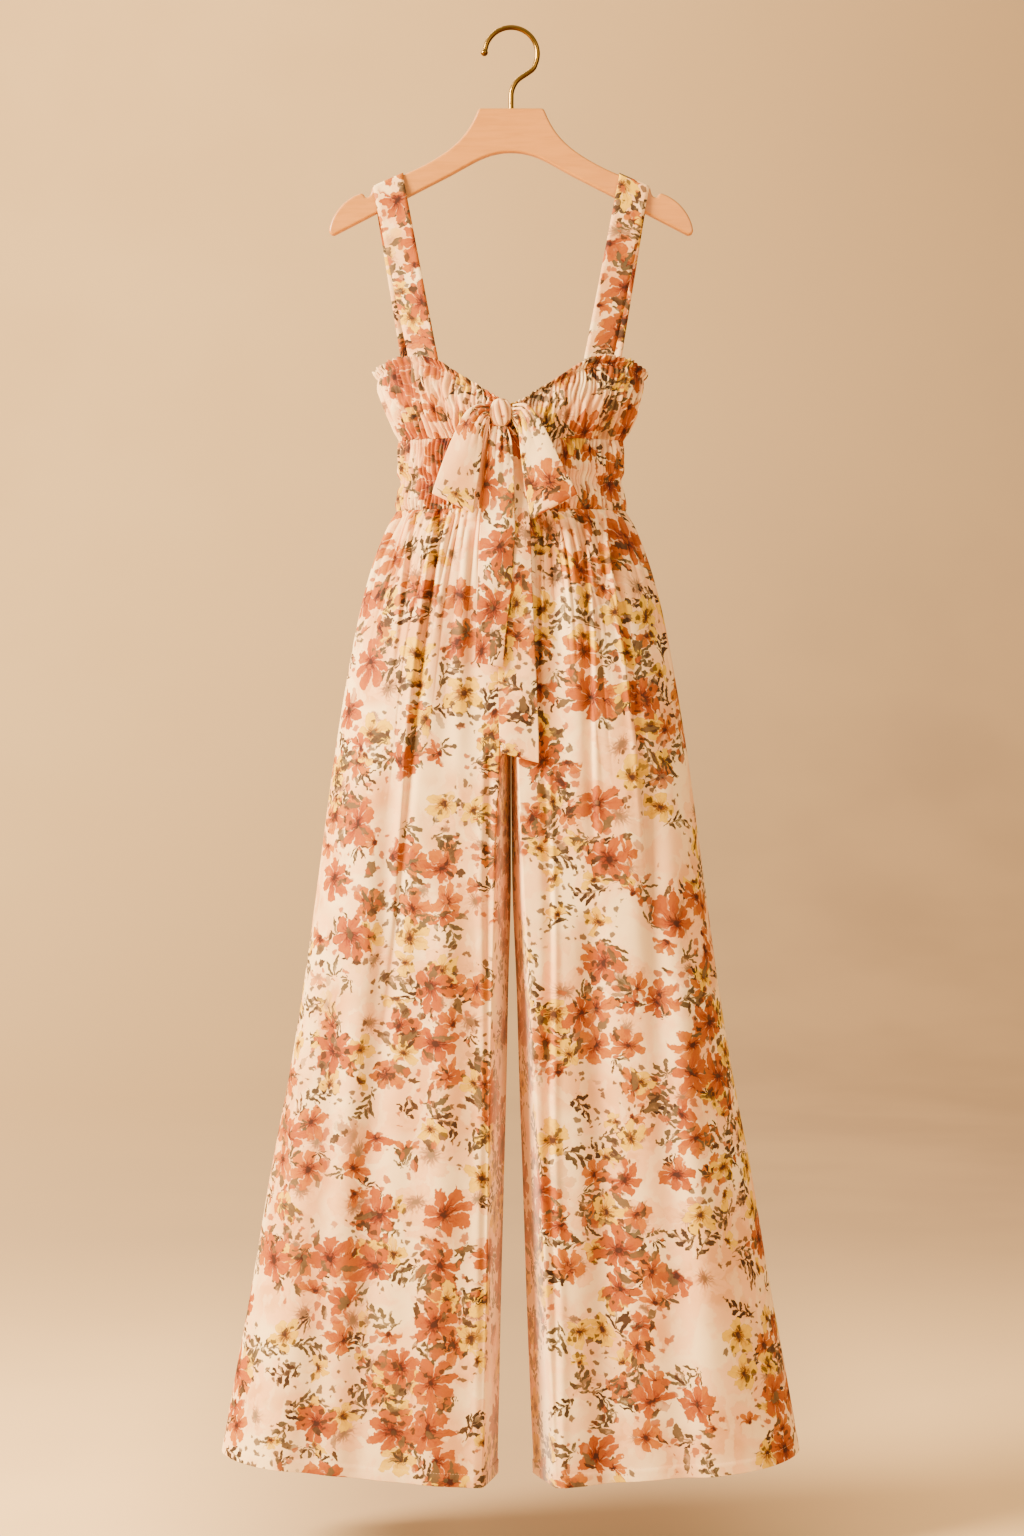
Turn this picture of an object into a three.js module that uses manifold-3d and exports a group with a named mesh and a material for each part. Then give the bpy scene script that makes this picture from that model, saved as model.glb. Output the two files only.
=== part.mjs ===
// A wide-legged jumpsuit of thin printed cotton, hung by its two shoulder straps on a wooden hanger.
// The body is shirred with elastic, a ribbon is tied in a bow at the neck, and the legs are gathered at the waist.
// Millimetres. +Z is up, +X is to the viewer's right, and the front of the garment faces -Y.
// The origin is the inside of the hook's top, which rests on a rail. Left and right are the viewer's.

import * as THREE from "three";
import { mergeVertices } from "three/addons/utils/BufferGeometryUtils.js";
import Module from "manifold-3d";

const wasm = await Module();
wasm.setup();

// Driving dimensions
const CLOTH_WALL = 1.6;
const STRAP_WALL = 2.4;
const RIBBON_WALL = 1.4;
const SEAM_GAP = 0.3;
const HALF_SEAM = SEAM_GAP / 2;
const UNDERBUST_Z = -453;
const WAIST_Z = -530;
const HEM_DROP = 1057;
const HEM_LIFT = 18;
const HEM_CURVE = 1.2;
const CROTCH_DROP = 251;
const RISE_CURVE_START = 150;
const HANGER_THICK = 12;
const HANGER_BEVEL = 2;
const HOOK_WIRE = 5.6;
const HOOK_RADIUS = 29;

// Half width and half depths of the shirred body. Its sections are ellipses.
const BODY = [
  { z: -360, half_width: 150, front: 44, back: 40 },
  { z: -380, half_width: 148, front: 49, back: 43 },
  { z: -414, half_width: 137, front: 54, back: 46 },
  { z: -440, half_width: 127, front: 50, back: 45 },
  { z: -453, half_width: 124, front: 47, back: 44 },
  { z: -475, half_width: 122, front: 45, back: 43 },
  { z: -500, half_width: 122, front: 45, back: 43 },
  { z: -530, half_width: 126, front: 48, back: 46 },
];

// The shirred body's usual section, along which its gathers are spaced.
const WAIST = { half_width: 125, depth: 46 };

// Height of the neck edge, by the share of the way round from the side seam (0) to the centre (1).
const FRONT_NECK = [
  { share: 0, z: -380 },
  { share: 0.2, z: -372 },
  { share: 0.41, z: -364 },
  { share: 0.52, z: -362 },
  { share: 0.63, z: -367 },
  { share: 0.74, z: -382 },
  { share: 0.87, z: -401 },
  { share: 0.95, z: -413 },
  { share: 1, z: -417 },
];
const BACK_NECK = [
  { share: 0, z: -380 },
  { share: 0.25, z: -371 },
  { share: 0.5, z: -368 },
  { share: 0.65, z: -380 },
  { share: 0.82, z: -400 },
  { share: 1, z: -412 },
];

// How far each shirred row stands out from the body, by its share of the way from the upper to the lower edge.
const BUST_PUFF = [
  { share: 0, out: 1.4, rib: 1.1 },
  { share: 0.09, out: -0.4, rib: 0.9 },
  { share: 0.2, out: 1.6, rib: 1.2 },
  { share: 0.5, out: 3.2, rib: 1.3 },
  { share: 0.8, out: 2.4, rib: 1.2 },
  { share: 0.95, out: 0.8, rib: 1 },
  { share: 1, out: -0.2, rib: 0.8 },
];
const MIDRIFF_PUFF = [
  { share: 0, out: -0.2, rib: 0.8 },
  { share: 0.12, out: 1.2, rib: 1 },
  { share: 0.38, out: 1.6, rib: 1.1 },
  { share: 0.62, out: -0.6, rib: 0.8 },
  { share: 0.78, out: 1.2, rib: 1.1 },
  { share: 0.92, out: -0.2, rib: 0.9 },
  { share: 1, out: 1.6, rib: 1.2 },
];

// Sections of the legs, by the distance down from the waist. The rounds are the widths of a section's two rounded ends.
const LEG = [
  { drop: 0, outer: 126, front: 48, back: 46, outer_round: 126, inner_left: 0, inner_right: 0, round_left: 4, round_right: 4 },
  { drop: 15, outer: 135, front: 51, back: 48, outer_round: 130, inner_left: 0, inner_right: 0, round_left: 4, round_right: 4 },
  { drop: 66, outer: 154, front: 57, back: 53, outer_round: 125, inner_left: 0, inner_right: 0, round_left: 4, round_right: 4 },
  { drop: 112, outer: 166, front: 62, back: 57, outer_round: 112, inner_left: 0, inner_right: 0, round_left: 5, round_right: 5 },
  { drop: 180, outer: 179, front: 66, back: 61, outer_round: 100, inner_left: 0, inner_right: 0, round_left: 9, round_right: 7 },
  { drop: 282, outer: 195, front: 69, back: 64, outer_round: 90, inner_left: 0, inner_right: 0, round_left: 13, round_right: 8 },
  { drop: 398, outer: 210, front: 70, back: 66, outer_round: 85, inner_left: 0, inner_right: 1, round_left: 18, round_right: 12 },
  { drop: 528, outer: 227, front: 71, back: 67, outer_round: 82, inner_left: 3, inner_right: 6, round_left: 18, round_right: 15 },
  { drop: 631, outer: 243, front: 71, back: 67, outer_round: 80, inner_left: 5, inner_right: 9, round_left: 18, round_right: 18 },
  { drop: 745, outer: 264, front: 72, back: 68, outer_round: 80, inner_left: 8, inner_right: 13, round_left: 17, round_right: 20 },
  { drop: 869, outer: 284, front: 72, back: 68, outer_round: 80, inner_left: 11, inner_right: 17, round_left: 16, round_right: 22 },
  { drop: 970, outer: 302, front: 72, back: 68, outer_round: 80, inner_left: 13, inner_right: 21, round_left: 16, round_right: 24 },
  { drop: 1057, outer: 317, front: 72, back: 68, outer_round: 80, inner_left: 15, inner_right: 25, round_left: 16, round_right: 24 },
];

// Depth of the small gathers below the waist seam.
const GATHER = [
  { drop: 0, depth: 1 },
  { drop: 14, depth: 2.4 },
  { drop: 40, depth: 3 },
  { drop: 75, depth: 2.4 },
  { drop: 120, depth: 1.2 },
  { drop: 170, depth: 0 },
];

// Soft folds that fall down the legs. across is from the centre line; rise is outwards, and negative for a hollow.
const FOLDS = [
  { face: "front", side: -1, top: 4, bottom: 760, across_top: 80, across_bottom: 132, rise: -9, width: 13 },
  { face: "front", side: -1, top: 20, bottom: 420, across_top: 60, across_bottom: 84, rise: 5, width: 15 },
  { face: "front", side: -1, top: 20, bottom: 380, across_top: 98, across_bottom: 148, rise: 5, width: 13 },
  { face: "front", side: -1, top: 10, bottom: 300, across_top: 38, across_bottom: 44, rise: -5, width: 10 },
  { face: "front", side: -1, top: 500, bottom: 1200, across_top: 60, across_bottom: 80, rise: 4, width: 32 },
  { face: "front", side: -1, top: 620, bottom: 1200, across_top: 185, across_bottom: 215, rise: -4, width: 30 },
  { face: "front", side: 1, top: 10, bottom: 640, across_top: 84, across_bottom: 112, rise: -8, width: 13 },
  { face: "front", side: 1, top: 20, bottom: 400, across_top: 62, across_bottom: 78, rise: 5, width: 14 },
  { face: "front", side: 1, top: 4, bottom: 330, across_top: 122, across_bottom: 168, rise: -6, width: 11 },
  { face: "front", side: 1, top: 10, bottom: 420, across_top: 36, across_bottom: 32, rise: -6, width: 9 },
  { face: "front", side: 1, top: 300, bottom: 900, across_top: 150, across_bottom: 175, rise: 5, width: 24 },
  { face: "front", side: 1, top: 560, bottom: 1200, across_top: 105, across_bottom: 128, rise: -5, width: 26 },
  { face: "back", side: -1, top: 4, bottom: 700, across_top: 66, across_bottom: 104, rise: -8, width: 14 },
  { face: "back", side: -1, top: 10, bottom: 420, across_top: 104, across_bottom: 150, rise: -5, width: 13 },
  { face: "back", side: -1, top: 20, bottom: 900, across_top: 36, across_bottom: 60, rise: 5, width: 16 },
  { face: "back", side: 1, top: 4, bottom: 620, across_top: 74, across_bottom: 112, rise: -8, width: 14 },
  { face: "back", side: 1, top: 10, bottom: 380, across_top: 112, across_bottom: 158, rise: -5, width: 12 },
  { face: "back", side: 1, top: 20, bottom: 960, across_top: 40, across_bottom: 66, rise: 5, width: 17 },
];

// Where each strap is sewn inside the body, and where it crosses the hanger.
const STRAP = {
  half_width: 16.5,
  front_x: 96,
  back_x: 104,
  bar_x: 135,
  sewn_in: 14,
};

// The wooden bar's straight upper edge under a strap: its height at a distance from the centre line.
const BAR_EDGE = { x: 118.5, z: -160, slope: -0.44 };
const barTop = (x) => BAR_EDGE.z + BAR_EDGE.slope * (x - BAR_EDGE.x);

// The bow's parts: the knot, and for each ribbon length the middle line and width, from the knot outwards.
const KNOT = { x: -11, y: -64.4, z: -428, half_width: 12, half_depth: 9, half_height: 15 };
const LOOP_LEFT = [
  { x: -23.2, y: -68, z: -427, half_width: 7, turn: -86 },
  { x: -32, y: -72, z: -429, half_width: 10, turn: -52 },
  { x: -40, y: -74, z: -441, half_width: 14.5, turn: -47 },
  { x: -46, y: -75, z: -462, half_width: 18.5, turn: -39 },
  { x: -53.5, y: -75, z: -489, half_width: 21.5, turn: -31 },
  { x: -62, y: -73.5, z: -522, half_width: 24, turn: -26 },
  { x: -62.5, y: -68.5, z: -526, half_width: 24, turn: -26 },
  { x: -60, y: -64, z: -521, half_width: 24, turn: -27 },
  { x: -52, y: -60.5, z: -500, half_width: 23, turn: -30 },
  { x: -43, y: -60, z: -474, half_width: 19, turn: -38 },
  { x: -33, y: -62, z: -447, half_width: 12, turn: -50 },
  { x: -23.8, y: -64.5, z: -431, half_width: 6, turn: -86 },
];
const LOOP_RIGHT = [
  { x: 1.7, y: -68, z: -427, half_width: 7, turn: 86 },
  { x: 11.5, y: -72, z: -428, half_width: 9.5, turn: 56 },
  { x: 19, y: -74, z: -445, half_width: 15, turn: 48 },
  { x: 26.5, y: -75, z: -469, half_width: 19.5, turn: 38 },
  { x: 35, y: -75.5, z: -497, half_width: 23.5, turn: 32 },
  { x: 45, y: -75, z: -526, half_width: 28, turn: 29 },
  { x: 46, y: -71.5, z: -530, half_width: 28, turn: 29 },
  { x: 44, y: -68, z: -525, half_width: 27, turn: 29 },
  { x: 36, y: -66, z: -503, half_width: 24, turn: 31 },
  { x: 27, y: -65.5, z: -471, half_width: 19, turn: 38 },
  { x: 15, y: -65, z: -443, half_width: 12, turn: 52 },
  { x: 1.9, y: -64.5, z: -431, half_width: 6, turn: 86 },
];
const TAIL_SHORT = [
  { x: -12, y: -64.9, z: -443.4, half_width: 8, turn: 0 },
  { x: -12, y: -68, z: -462, half_width: 13, turn: 0 },
  { x: -13, y: -67, z: -500, half_width: 16, turn: 0 },
  { x: -15, y: -69, z: -560, half_width: 19, turn: 0 },
  { x: -18, y: -74, z: -620, half_width: 18, turn: 0 },
  { x: -22, y: -78, z: -670, half_width: 16, turn: 0 },
  { x: -24, y: -79.5, z: -701, half_width: 15, turn: -10 },
];
const TAIL_LONG = [
  { x: -9, y: -62.8, z: -443.5, half_width: 7, turn: 0 },
  { x: 2, y: -60.5, z: -464, half_width: 12, turn: 0 },
  { x: 4, y: -59.5, z: -500, half_width: 14, turn: 0 },
  { x: 3, y: -64, z: -560, half_width: 18, turn: 0 },
  { x: 4, y: -69, z: -620, half_width: 19, turn: 0 },
  { x: 6, y: -73.5, z: -690, half_width: 20, turn: 0 },
  { x: 8, y: -76.5, z: -760, half_width: 21, turn: 0 },
  { x: 9.5, y: -78, z: -801, half_width: 21, turn: -15 },
];

const RIBS = { bust: 18, midriff: 36, bust_back: 36 };

// A column of a table at a value of its first column, joined smoothly between the rows.
function read(table, key, value, column) {
  const last = table.length - 1;
  const sign = Math.sign(table[last][key] - table[0][key]);
  let i = table.findIndex((row) => (row[key] - value) * sign >= 0);
  if (i === -1) return table[last][column];
  if (i === 0) return table[0][column];
  const [a, b] = [table[i - 1], table[i]];
  const before = table[Math.max(0, i - 2)];
  const after = table[Math.min(last, i + 1)];
  const step = b[key] - a[key];
  const t = (value - a[key]) / step;
  const slope = (p, q) => (q[column] - p[column]) / (q[key] - p[key] || step);
  const inSlope = before === a ? slope(a, b) : gentler(slope(before, a), slope(a, b));
  const outSlope = after === b ? slope(a, b) : gentler(slope(a, b), slope(b, after));
  const t2 = t * t;
  const t3 = t2 * t;
  return (
    (2 * t3 - 3 * t2 + 1) * a[column] +
    (t3 - 2 * t2 + t) * step * inSlope +
    (3 * t2 - 2 * t3) * b[column] +
    (t3 - t2) * step * outSlope
  );
}

// The slope at a row between two spans, which never overshoots either.
function gentler(p, q) {
  return p * q <= 0 ? 0 : (2 * p * q) / (p + q);
}

// Points evenly spaced along an open line in the plane, with the outward normal at each.
function spaced(line, count) {
  const along = [0];
  for (let i = 1; i < line.length; i++) {
    along.push(along[i - 1] + line[i].distanceTo(line[i - 1]));
  }
  const total = along[along.length - 1];
  return Array.from({ length: count + 1 }, (_, k) => {
    const target = (total * k) / count;
    let i = along.findIndex((d) => d >= target - 1e-9);
    i = Math.max(1, i);
    const t = (target - along[i - 1]) / (along[i] - along[i - 1]);
    const point = line[i - 1].clone().lerp(line[i], t);
    const run = line[i].clone().sub(line[i - 1]).normalize();
    return { point, normal: new THREE.Vector2(-run.y, run.x) };
  });
}

// Joins two rows of point numbers with triangles, whatever their counts.
function zip(upper, lower, faces) {
  let i = 0;
  let j = 0;
  while (i < upper.length - 1 || j < lower.length - 1) {
    const nextUpper = i < upper.length - 1 ? (i + 1) / (upper.length - 1) : Infinity;
    const nextLower = j < lower.length - 1 ? (j + 1) / (lower.length - 1) : Infinity;
    if (nextUpper <= nextLower) {
      faces.push(upper[i], lower[j], upper[i + 1]);
      i += 1;
    } else {
      faces.push(upper[i], lower[j], lower[j + 1]);
      j += 1;
    }
  }
}

// A closed wall between an outside and an inside, each given as rows of points from the top down.
function wall(outside, inside) {
  const points = [];
  const number = (rows) => rows.map((row) => row.map((p) => points.push(p) - 1));
  const out = number(outside);
  const within = number(inside);
  const faces = [];
  for (let r = 1; r < out.length; r++) zip(out[r - 1], out[r], faces);
  for (let r = 1; r < within.length; r++) zip(within[r], within[r - 1], faces);
  const first = (rows) => rows.map((row) => row[0]);
  const last = (rows) => rows.map((row) => row[row.length - 1]);
  zip(within[0], out[0], faces);
  zip(out[out.length - 1], within[within.length - 1], faces);
  zip(first(out), first(within), faces);
  zip(last(within), last(out), faces);
  return facingOut(points, faces);
}

// A geometry from points and triangles, turned round where its faces point inwards.
function facingOut(points, faces) {
  let volume = 0;
  for (let i = 0; i < faces.length; i += 3) {
    const [a, b, c] = [points[faces[i]], points[faces[i + 1]], points[faces[i + 2]]];
    volume += a.dot(b.clone().cross(c));
  }
  const geometry = new THREE.BufferGeometry();
  geometry.setAttribute("position", new THREE.Float32BufferAttribute(points.flatMap((p) => [p.x, p.y, p.z]), 3));
  geometry.setIndex(volume < 0 ? faces.slice().reverse() : faces);
  return geometry;
}

// A rib's height alternates from point to point, a little unevenly, as hand-set gathers do.
function ribHeight(index, strength) {
  const uneven = 0.8 + 0.2 * Math.sin(index * 2.4);
  return (index % 2 ? -strength : strength) * uneven;
}

// One point of the shirred body, from a side seam at share 0 to the centre at share 1.
function bodyPoint(side, face, share, z, inset, out) {
  const depthColumn = face < 0 ? "front" : "back";
  const halfWidth = read(BODY, "z", z, "half_width") - inset + out;
  const depth = read(BODY, "z", z, depthColumn) - inset + out;
  const angle = (share * Math.PI) / 2;
  const x = Math.max(HALF_SEAM, halfWidth * Math.cos(angle));
  const y = Math.max(HALF_SEAM, depth * Math.sin(angle));
  return new THREE.Vector3(side * x, face * y, z);
}

// The plain inside of a shirred panel has few rows.
const PLAIN_ROWS = [0, 0.18, 0.45, 1];

// The shares of the quarter round the body, from a side seam to the centre, that lie evenly along its cloth.
function quarterShares(count) {
  const round = Array.from({ length: 61 }, (_, k) => {
    const angle = ((k / 60) * Math.PI) / 2;
    return new THREE.Vector2(WAIST.half_width * Math.cos(angle), WAIST.depth * Math.sin(angle));
  });
  return spaced(round, count).map(
    ({ point }) => (Math.atan2(point.y / WAIST.depth, point.x / WAIST.half_width) * 2) / Math.PI,
  );
}

// The same for a half, from the left side seam (0) to the right one (1).
function halfShares(count) {
  const quarter = quarterShares(count / 2).map((share) => share / 2);
  return [...quarter, ...quarter.slice(0, -1).reverse().map((share) => 1 - share)];
}

// A front bust panel: from the side seam to the centre, and from the neck edge to the seam under the bust.
function bustFront(side) {
  const columns = RIBS.bust * 2;
  const lower = UNDERBUST_Z + HALF_SEAM;
  const row = (count, inset, puff) =>
    quarterShares(count).map((share, i) => {
      const upper = read(FRONT_NECK, "share", share, "z");
      const z = upper + (lower - upper) * puff.share;
      const out = inset ? 0 : puff.out + ribHeight(i, puff.rib);
      return bodyPoint(side, -1, share, z, inset, out);
    });
  return wall(
    BUST_PUFF.map((puff) => row(columns, 0, puff)),
    PLAIN_ROWS.map((share) => row(12, CLOTH_WALL, { share })),
  );
}

// The back bust panel runs from one side seam across to the other.
function bustBack() {
  const lower = UNDERBUST_Z + HALF_SEAM;
  const row = (count, inset, puff) =>
    halfShares(count).map((across, i) => {
      const share = 1 - Math.abs(1 - 2 * across);
      const upper = read(BACK_NECK, "share", share, "z");
      const z = upper + (lower - upper) * puff.share;
      const out = inset ? 0 : puff.out + ribHeight(i, puff.rib);
      return acrossBody(1, across, z, inset, out);
    });
  return wall(
    BUST_PUFF.map((puff) => row(RIBS.bust_back * 2, 0, puff)),
    PLAIN_ROWS.map((share) => row(24, CLOTH_WALL, { share })),
  );
}

// One point of a panel that spans the whole front or back, from the left side seam to the right one.
function acrossBody(face, across, z, inset, out) {
  const side = across < 0.5 ? -1 : 1;
  const point = bodyPoint(side, face, 1 - Math.abs(1 - 2 * across), z, inset, out);
  if (Math.abs(across - 0.5) < 1e-9) point.x = 0;
  return point;
}

// The midriff band, front or back, between the seam under the bust and the waist seam.
function midriff(face) {
  const upper = UNDERBUST_Z - HALF_SEAM;
  const lower = WAIST_Z + HALF_SEAM;
  const row = (count, inset, puff) =>
    halfShares(count).map((across, i) => {
      const z = upper + (lower - upper) * puff.share;
      return acrossBody(face, across, z, inset, inset ? 0 : puff.out + ribHeight(i, puff.rib));
    });
  return wall(
    MIDRIFF_PUFF.map((puff) => row(RIBS.midriff * 2, 0, puff)),
    PLAIN_ROWS.map((share) => row(24, CLOTH_WALL, { share })),
  );
}

// How far the cloth of a leg stands out of its plain section, by its soft folds, which widen as they fall.
const FOLD_SPREAD = 700;
function foldOut(face, side, across, drop) {
  let out = 0;
  for (const fold of FOLDS) {
    if (fold.side !== side || fold.face !== face) continue;
    const run = (drop - fold.top) / (fold.bottom - fold.top);
    if (run <= 0 || run >= 1) continue;
    const middle = fold.across_top + (fold.across_bottom - fold.across_top) * run;
    const strength = Math.pow(Math.sin(Math.PI * Math.sqrt(run)), 0.8);
    const width = fold.width * (1 + drop / FOLD_SPREAD);
    out += fold.rise * strength * Math.exp(-(((across - middle) / width) ** 2));
  }
  return out;
}

// A leg's front or back panel: from the side seam to the centre seam, and below the crotch to the inside leg seam.
const LEG_FINE_DROPS = [0, 12, 32, 60, 95];
const LEG_PLAIN_DROPS = [135, 175, 205, 227, 241, CROTCH_DROP, 275, 330, 410, 510, 620, 740, 860, 970, HEM_DROP];
const LEG_COLUMNS = { gathered: 26, gathered_inner: 5, plain: 21, plain_inner: 4 };
function legPanel(side, faceSign) {
  const rows = (inset) => [
    ...LEG_FINE_DROPS.map((drop) => legRow(side, faceSign, drop, true, inset)),
    ...LEG_PLAIN_DROPS.map((drop) => legRow(side, faceSign, drop, false, inset)),
  ];
  return wall(rows(0), rows(CLOTH_WALL));
}

function legRow(side, faceSign, drop, gathered, inset) {
  const face = faceSign < 0 ? "front" : "back";
  const where = side < 0 ? "left" : "right";
  const riseRun = (drop - RISE_CURVE_START) / (CROTCH_DROP - RISE_CURVE_START);
  const dip = riseRun <= 0 ? 0 : riseRun >= 1 ? 1 : 1 - Math.sqrt(1 - riseRun * riseRun);
  const depth = read(LEG, "drop", drop, face) - inset;
  const outer = read(LEG, "drop", drop, "outer") - inset;
  // The wall turns at the crotch from the centre seam's plane into the inside leg seam's plane.
  const turned = Math.min(1, Math.max(0, 1 - (depth * (1 - dip)) / (2 * CLOTH_WALL)));
  const inner = read(LEG, "drop", drop, "inner_" + where) + HALF_SEAM + inset * turned;
  const innerRound = Math.max(1, read(LEG, "drop", drop, "round_" + where) - inset * turned);
  const outerRound = Math.min(read(LEG, "drop", drop, "outer_round") - inset, outer - inner - innerRound);
  const gather = gathered ? read(GATHER, "drop", drop, "depth") : 0;
  const wide = gathered ? LEG_COLUMNS.gathered : LEG_COLUMNS.plain;
  const narrow = gathered ? LEG_COLUMNS.gathered_inner : LEG_COLUMNS.plain_inner;

  const outside = quarterRound(0, 1).map(
    ([cos, sin]) => new THREE.Vector2(outer - outerRound * (1 - cos), depth * sin),
  );
  outside.push(new THREE.Vector2(inner + innerRound, depth));
  const inside = quarterRound(1, 0).map(
    ([cos, sin]) => new THREE.Vector2(inner + innerRound * (1 - cos), depth * (1 - dip * (1 - sin))),
  );
  const lift = (share) => (HEM_LIFT * drop * Math.pow(1 - share, HEM_CURVE)) / HEM_DROP;
  const place = (point, share) => {
    const x = Math.max(HALF_SEAM, point.x);
    const y = Math.max(HALF_SEAM, point.y);
    return new THREE.Vector3(side * x, faceSign * y, WAIST_Z - HALF_SEAM - drop + lift(share));
  };
  const across = spaced(outside, wide).map(({ point, normal }, i) => {
    const share = i / wide;
    const ease = Math.min(1, share / 0.14, (1 - share) / 0.06);
    const out = (ribHeight(i, gather) + foldOut(face, side, point.x, drop)) * Math.max(0, ease);
    return place(point.addScaledVector(normal, out), share);
  });
  const inwards = spaced(inside, narrow).map(({ point }) => place(point, 1));
  return [...across, ...inwards.slice(1)];
}

// Cosines and sines round a quarter turn, from one share of it to another.
const ARC_STEPS = 24;
function quarterRound(from, to) {
  return Array.from({ length: ARC_STEPS + 1 }, (_, k) => {
    const angle = ((from + ((to - from) * k) / ARC_STEPS) * Math.PI) / 2;
    return [Math.cos(angle), Math.sin(angle)];
  });
}

// A band of cloth laid along a grid of points, half its thickness to each side.
function band(grid, thickness) {
  const offset = (amount) =>
    grid.map((row, r) =>
      row.map((p, c) => {
        const up = grid[Math.max(0, r - 1)][c];
        const down = grid[Math.min(grid.length - 1, r + 1)][c];
        const before = row[Math.max(0, c - 1)];
        const after = row[Math.min(row.length - 1, c + 1)];
        const normal = after.clone().sub(before).cross(down.clone().sub(up)).normalize();
        return p.clone().addScaledVector(normal, amount);
      }),
    );
  return wall(offset(thickness / 2), offset(-thickness / 2));
}

// A shoulder strap: sewn inside the front, up over the hanger and down to the inside of the back.
function strap(side) {
  const clear = STRAP_WALL / 2 + 0.45;
  const lie = CLOTH_WALL + SEAM_GAP + STRAP_WALL / 2 + 0.8;
  const corner = HANGER_THICK / 2 - HANGER_BEVEL;
  const columns = [-1, 0, 1].map((k) => {
    const barX = STRAP.bar_x + k * STRAP.half_width;
    const top = barTop(barX);
    const slant = Math.hypot(1, BAR_EDGE.slope);
    const sewn = (face, middle, neck) => {
      const x = middle + k * STRAP.half_width;
      const share = (Math.acos(x / read(BODY, "z", -368, "half_width")) * 2) / Math.PI;
      const edge = read(neck, "share", share, "z");
      const inside = (z) => {
        const halfWidth = read(BODY, "z", z, "half_width") - lie;
        const depth = read(BODY, "z", z, face < 0 ? "front" : "back") - lie;
        const y = depth * Math.sqrt(1 - (x / halfWidth) ** 2);
        return new THREE.Vector3(side * x, face * y, z);
      };
      return [inside(edge - STRAP.sewn_in), inside(edge - 2)];
    };
    const up = (face, middle, neck) => {
      const [low, edge] = sewn(face, middle, neck);
      const bar = new THREE.Vector3(side * barX, face * (HANGER_THICK / 2 + clear), top - HANGER_BEVEL - 6);
      const between = [0.12, 0.3, 0.5, 0.7, 0.86].map((t) => edge.clone().lerp(bar, t));
      return [low, edge, ...between, bar];
    };
    const over = [180, 150, 120, 90].map((degrees) => {
      const angle = THREE.MathUtils.degToRad(degrees);
      const reach = HANGER_BEVEL + clear;
      const z = top - HANGER_BEVEL * slant + reach * slant * Math.sin(angle);
      return new THREE.Vector3(side * barX, -corner + reach * Math.cos(angle), z);
    });
    const overBack = over.map((p) => new THREE.Vector3(p.x, -p.y, p.z)).reverse();
    return [
      ...up(-1, STRAP.front_x, FRONT_NECK),
      ...over,
      ...overBack,
      ...up(1, STRAP.back_x, BACK_NECK).reverse(),
    ];
  });
  return band(columns[0].map((_, r) => columns.map((column) => column[r])), STRAP_WALL);
}

// A length of ribbon along a table of places. turn tips the ribbon's width, in degrees, and crown bows it outwards.
function ribbon(table, crown) {
  const across = [-1, -0.5, 0, 0.5, 1];
  const grid = table.map((row) => {
    const angle = THREE.MathUtils.degToRad(row.turn);
    return across.map((k) => {
      const reach = k * row.half_width;
      const bow = crown * (1 - k * k) * Math.min(1, row.half_width / 16);
      return new THREE.Vector3(row.x + reach * Math.cos(angle), row.y - bow, row.z + reach * Math.sin(angle));
    });
  });
  return band(grid, RIBBON_WALL);
}

// The knot: ribbon wrapped round on itself, with three slanting folds.
function bowKnot() {
  const geometry = new THREE.SphereGeometry(1, 20, 12);
  const place = geometry.getAttribute("position");
  for (let i = 0; i < place.count; i++) {
    const p = new THREE.Vector3().fromBufferAttribute(place, i);
    const fold = 1 + 0.07 * Math.sin(3 * Math.atan2(p.z, p.x) + 3 * p.y) * (1 - p.y * p.y);
    place.setXYZ(
      i,
      KNOT.x + Math.sign(p.x) * Math.abs(p.x) ** 0.75 * KNOT.half_width * fold,
      KNOT.y + p.z * KNOT.half_depth * fold,
      KNOT.z - p.y * KNOT.half_height,
    );
  }
  return geometry;
}

// A closed three.js geometry as a solid, and a solid back as a geometry.
function solid(geometry) {
  const bare = geometry.clone();
  for (const name of ["normal", "uv"]) bare.deleteAttribute(name);
  const merged = mergeVertices(bare, 1e-4);
  return new wasm.Manifold(
    new wasm.Mesh({
      numProp: 3,
      vertProperties: merged.getAttribute("position").array,
      triVerts: new Uint32Array(merged.index.array),
    }),
  );
}

function geometryOf(made) {
  const mesh = made.getMesh();
  const geometry = new THREE.BufferGeometry();
  geometry.setAttribute("position", new THREE.BufferAttribute(mesh.vertProperties, 3));
  geometry.setIndex(new THREE.BufferAttribute(mesh.triVerts, 1));
  return geometry;
}

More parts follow.
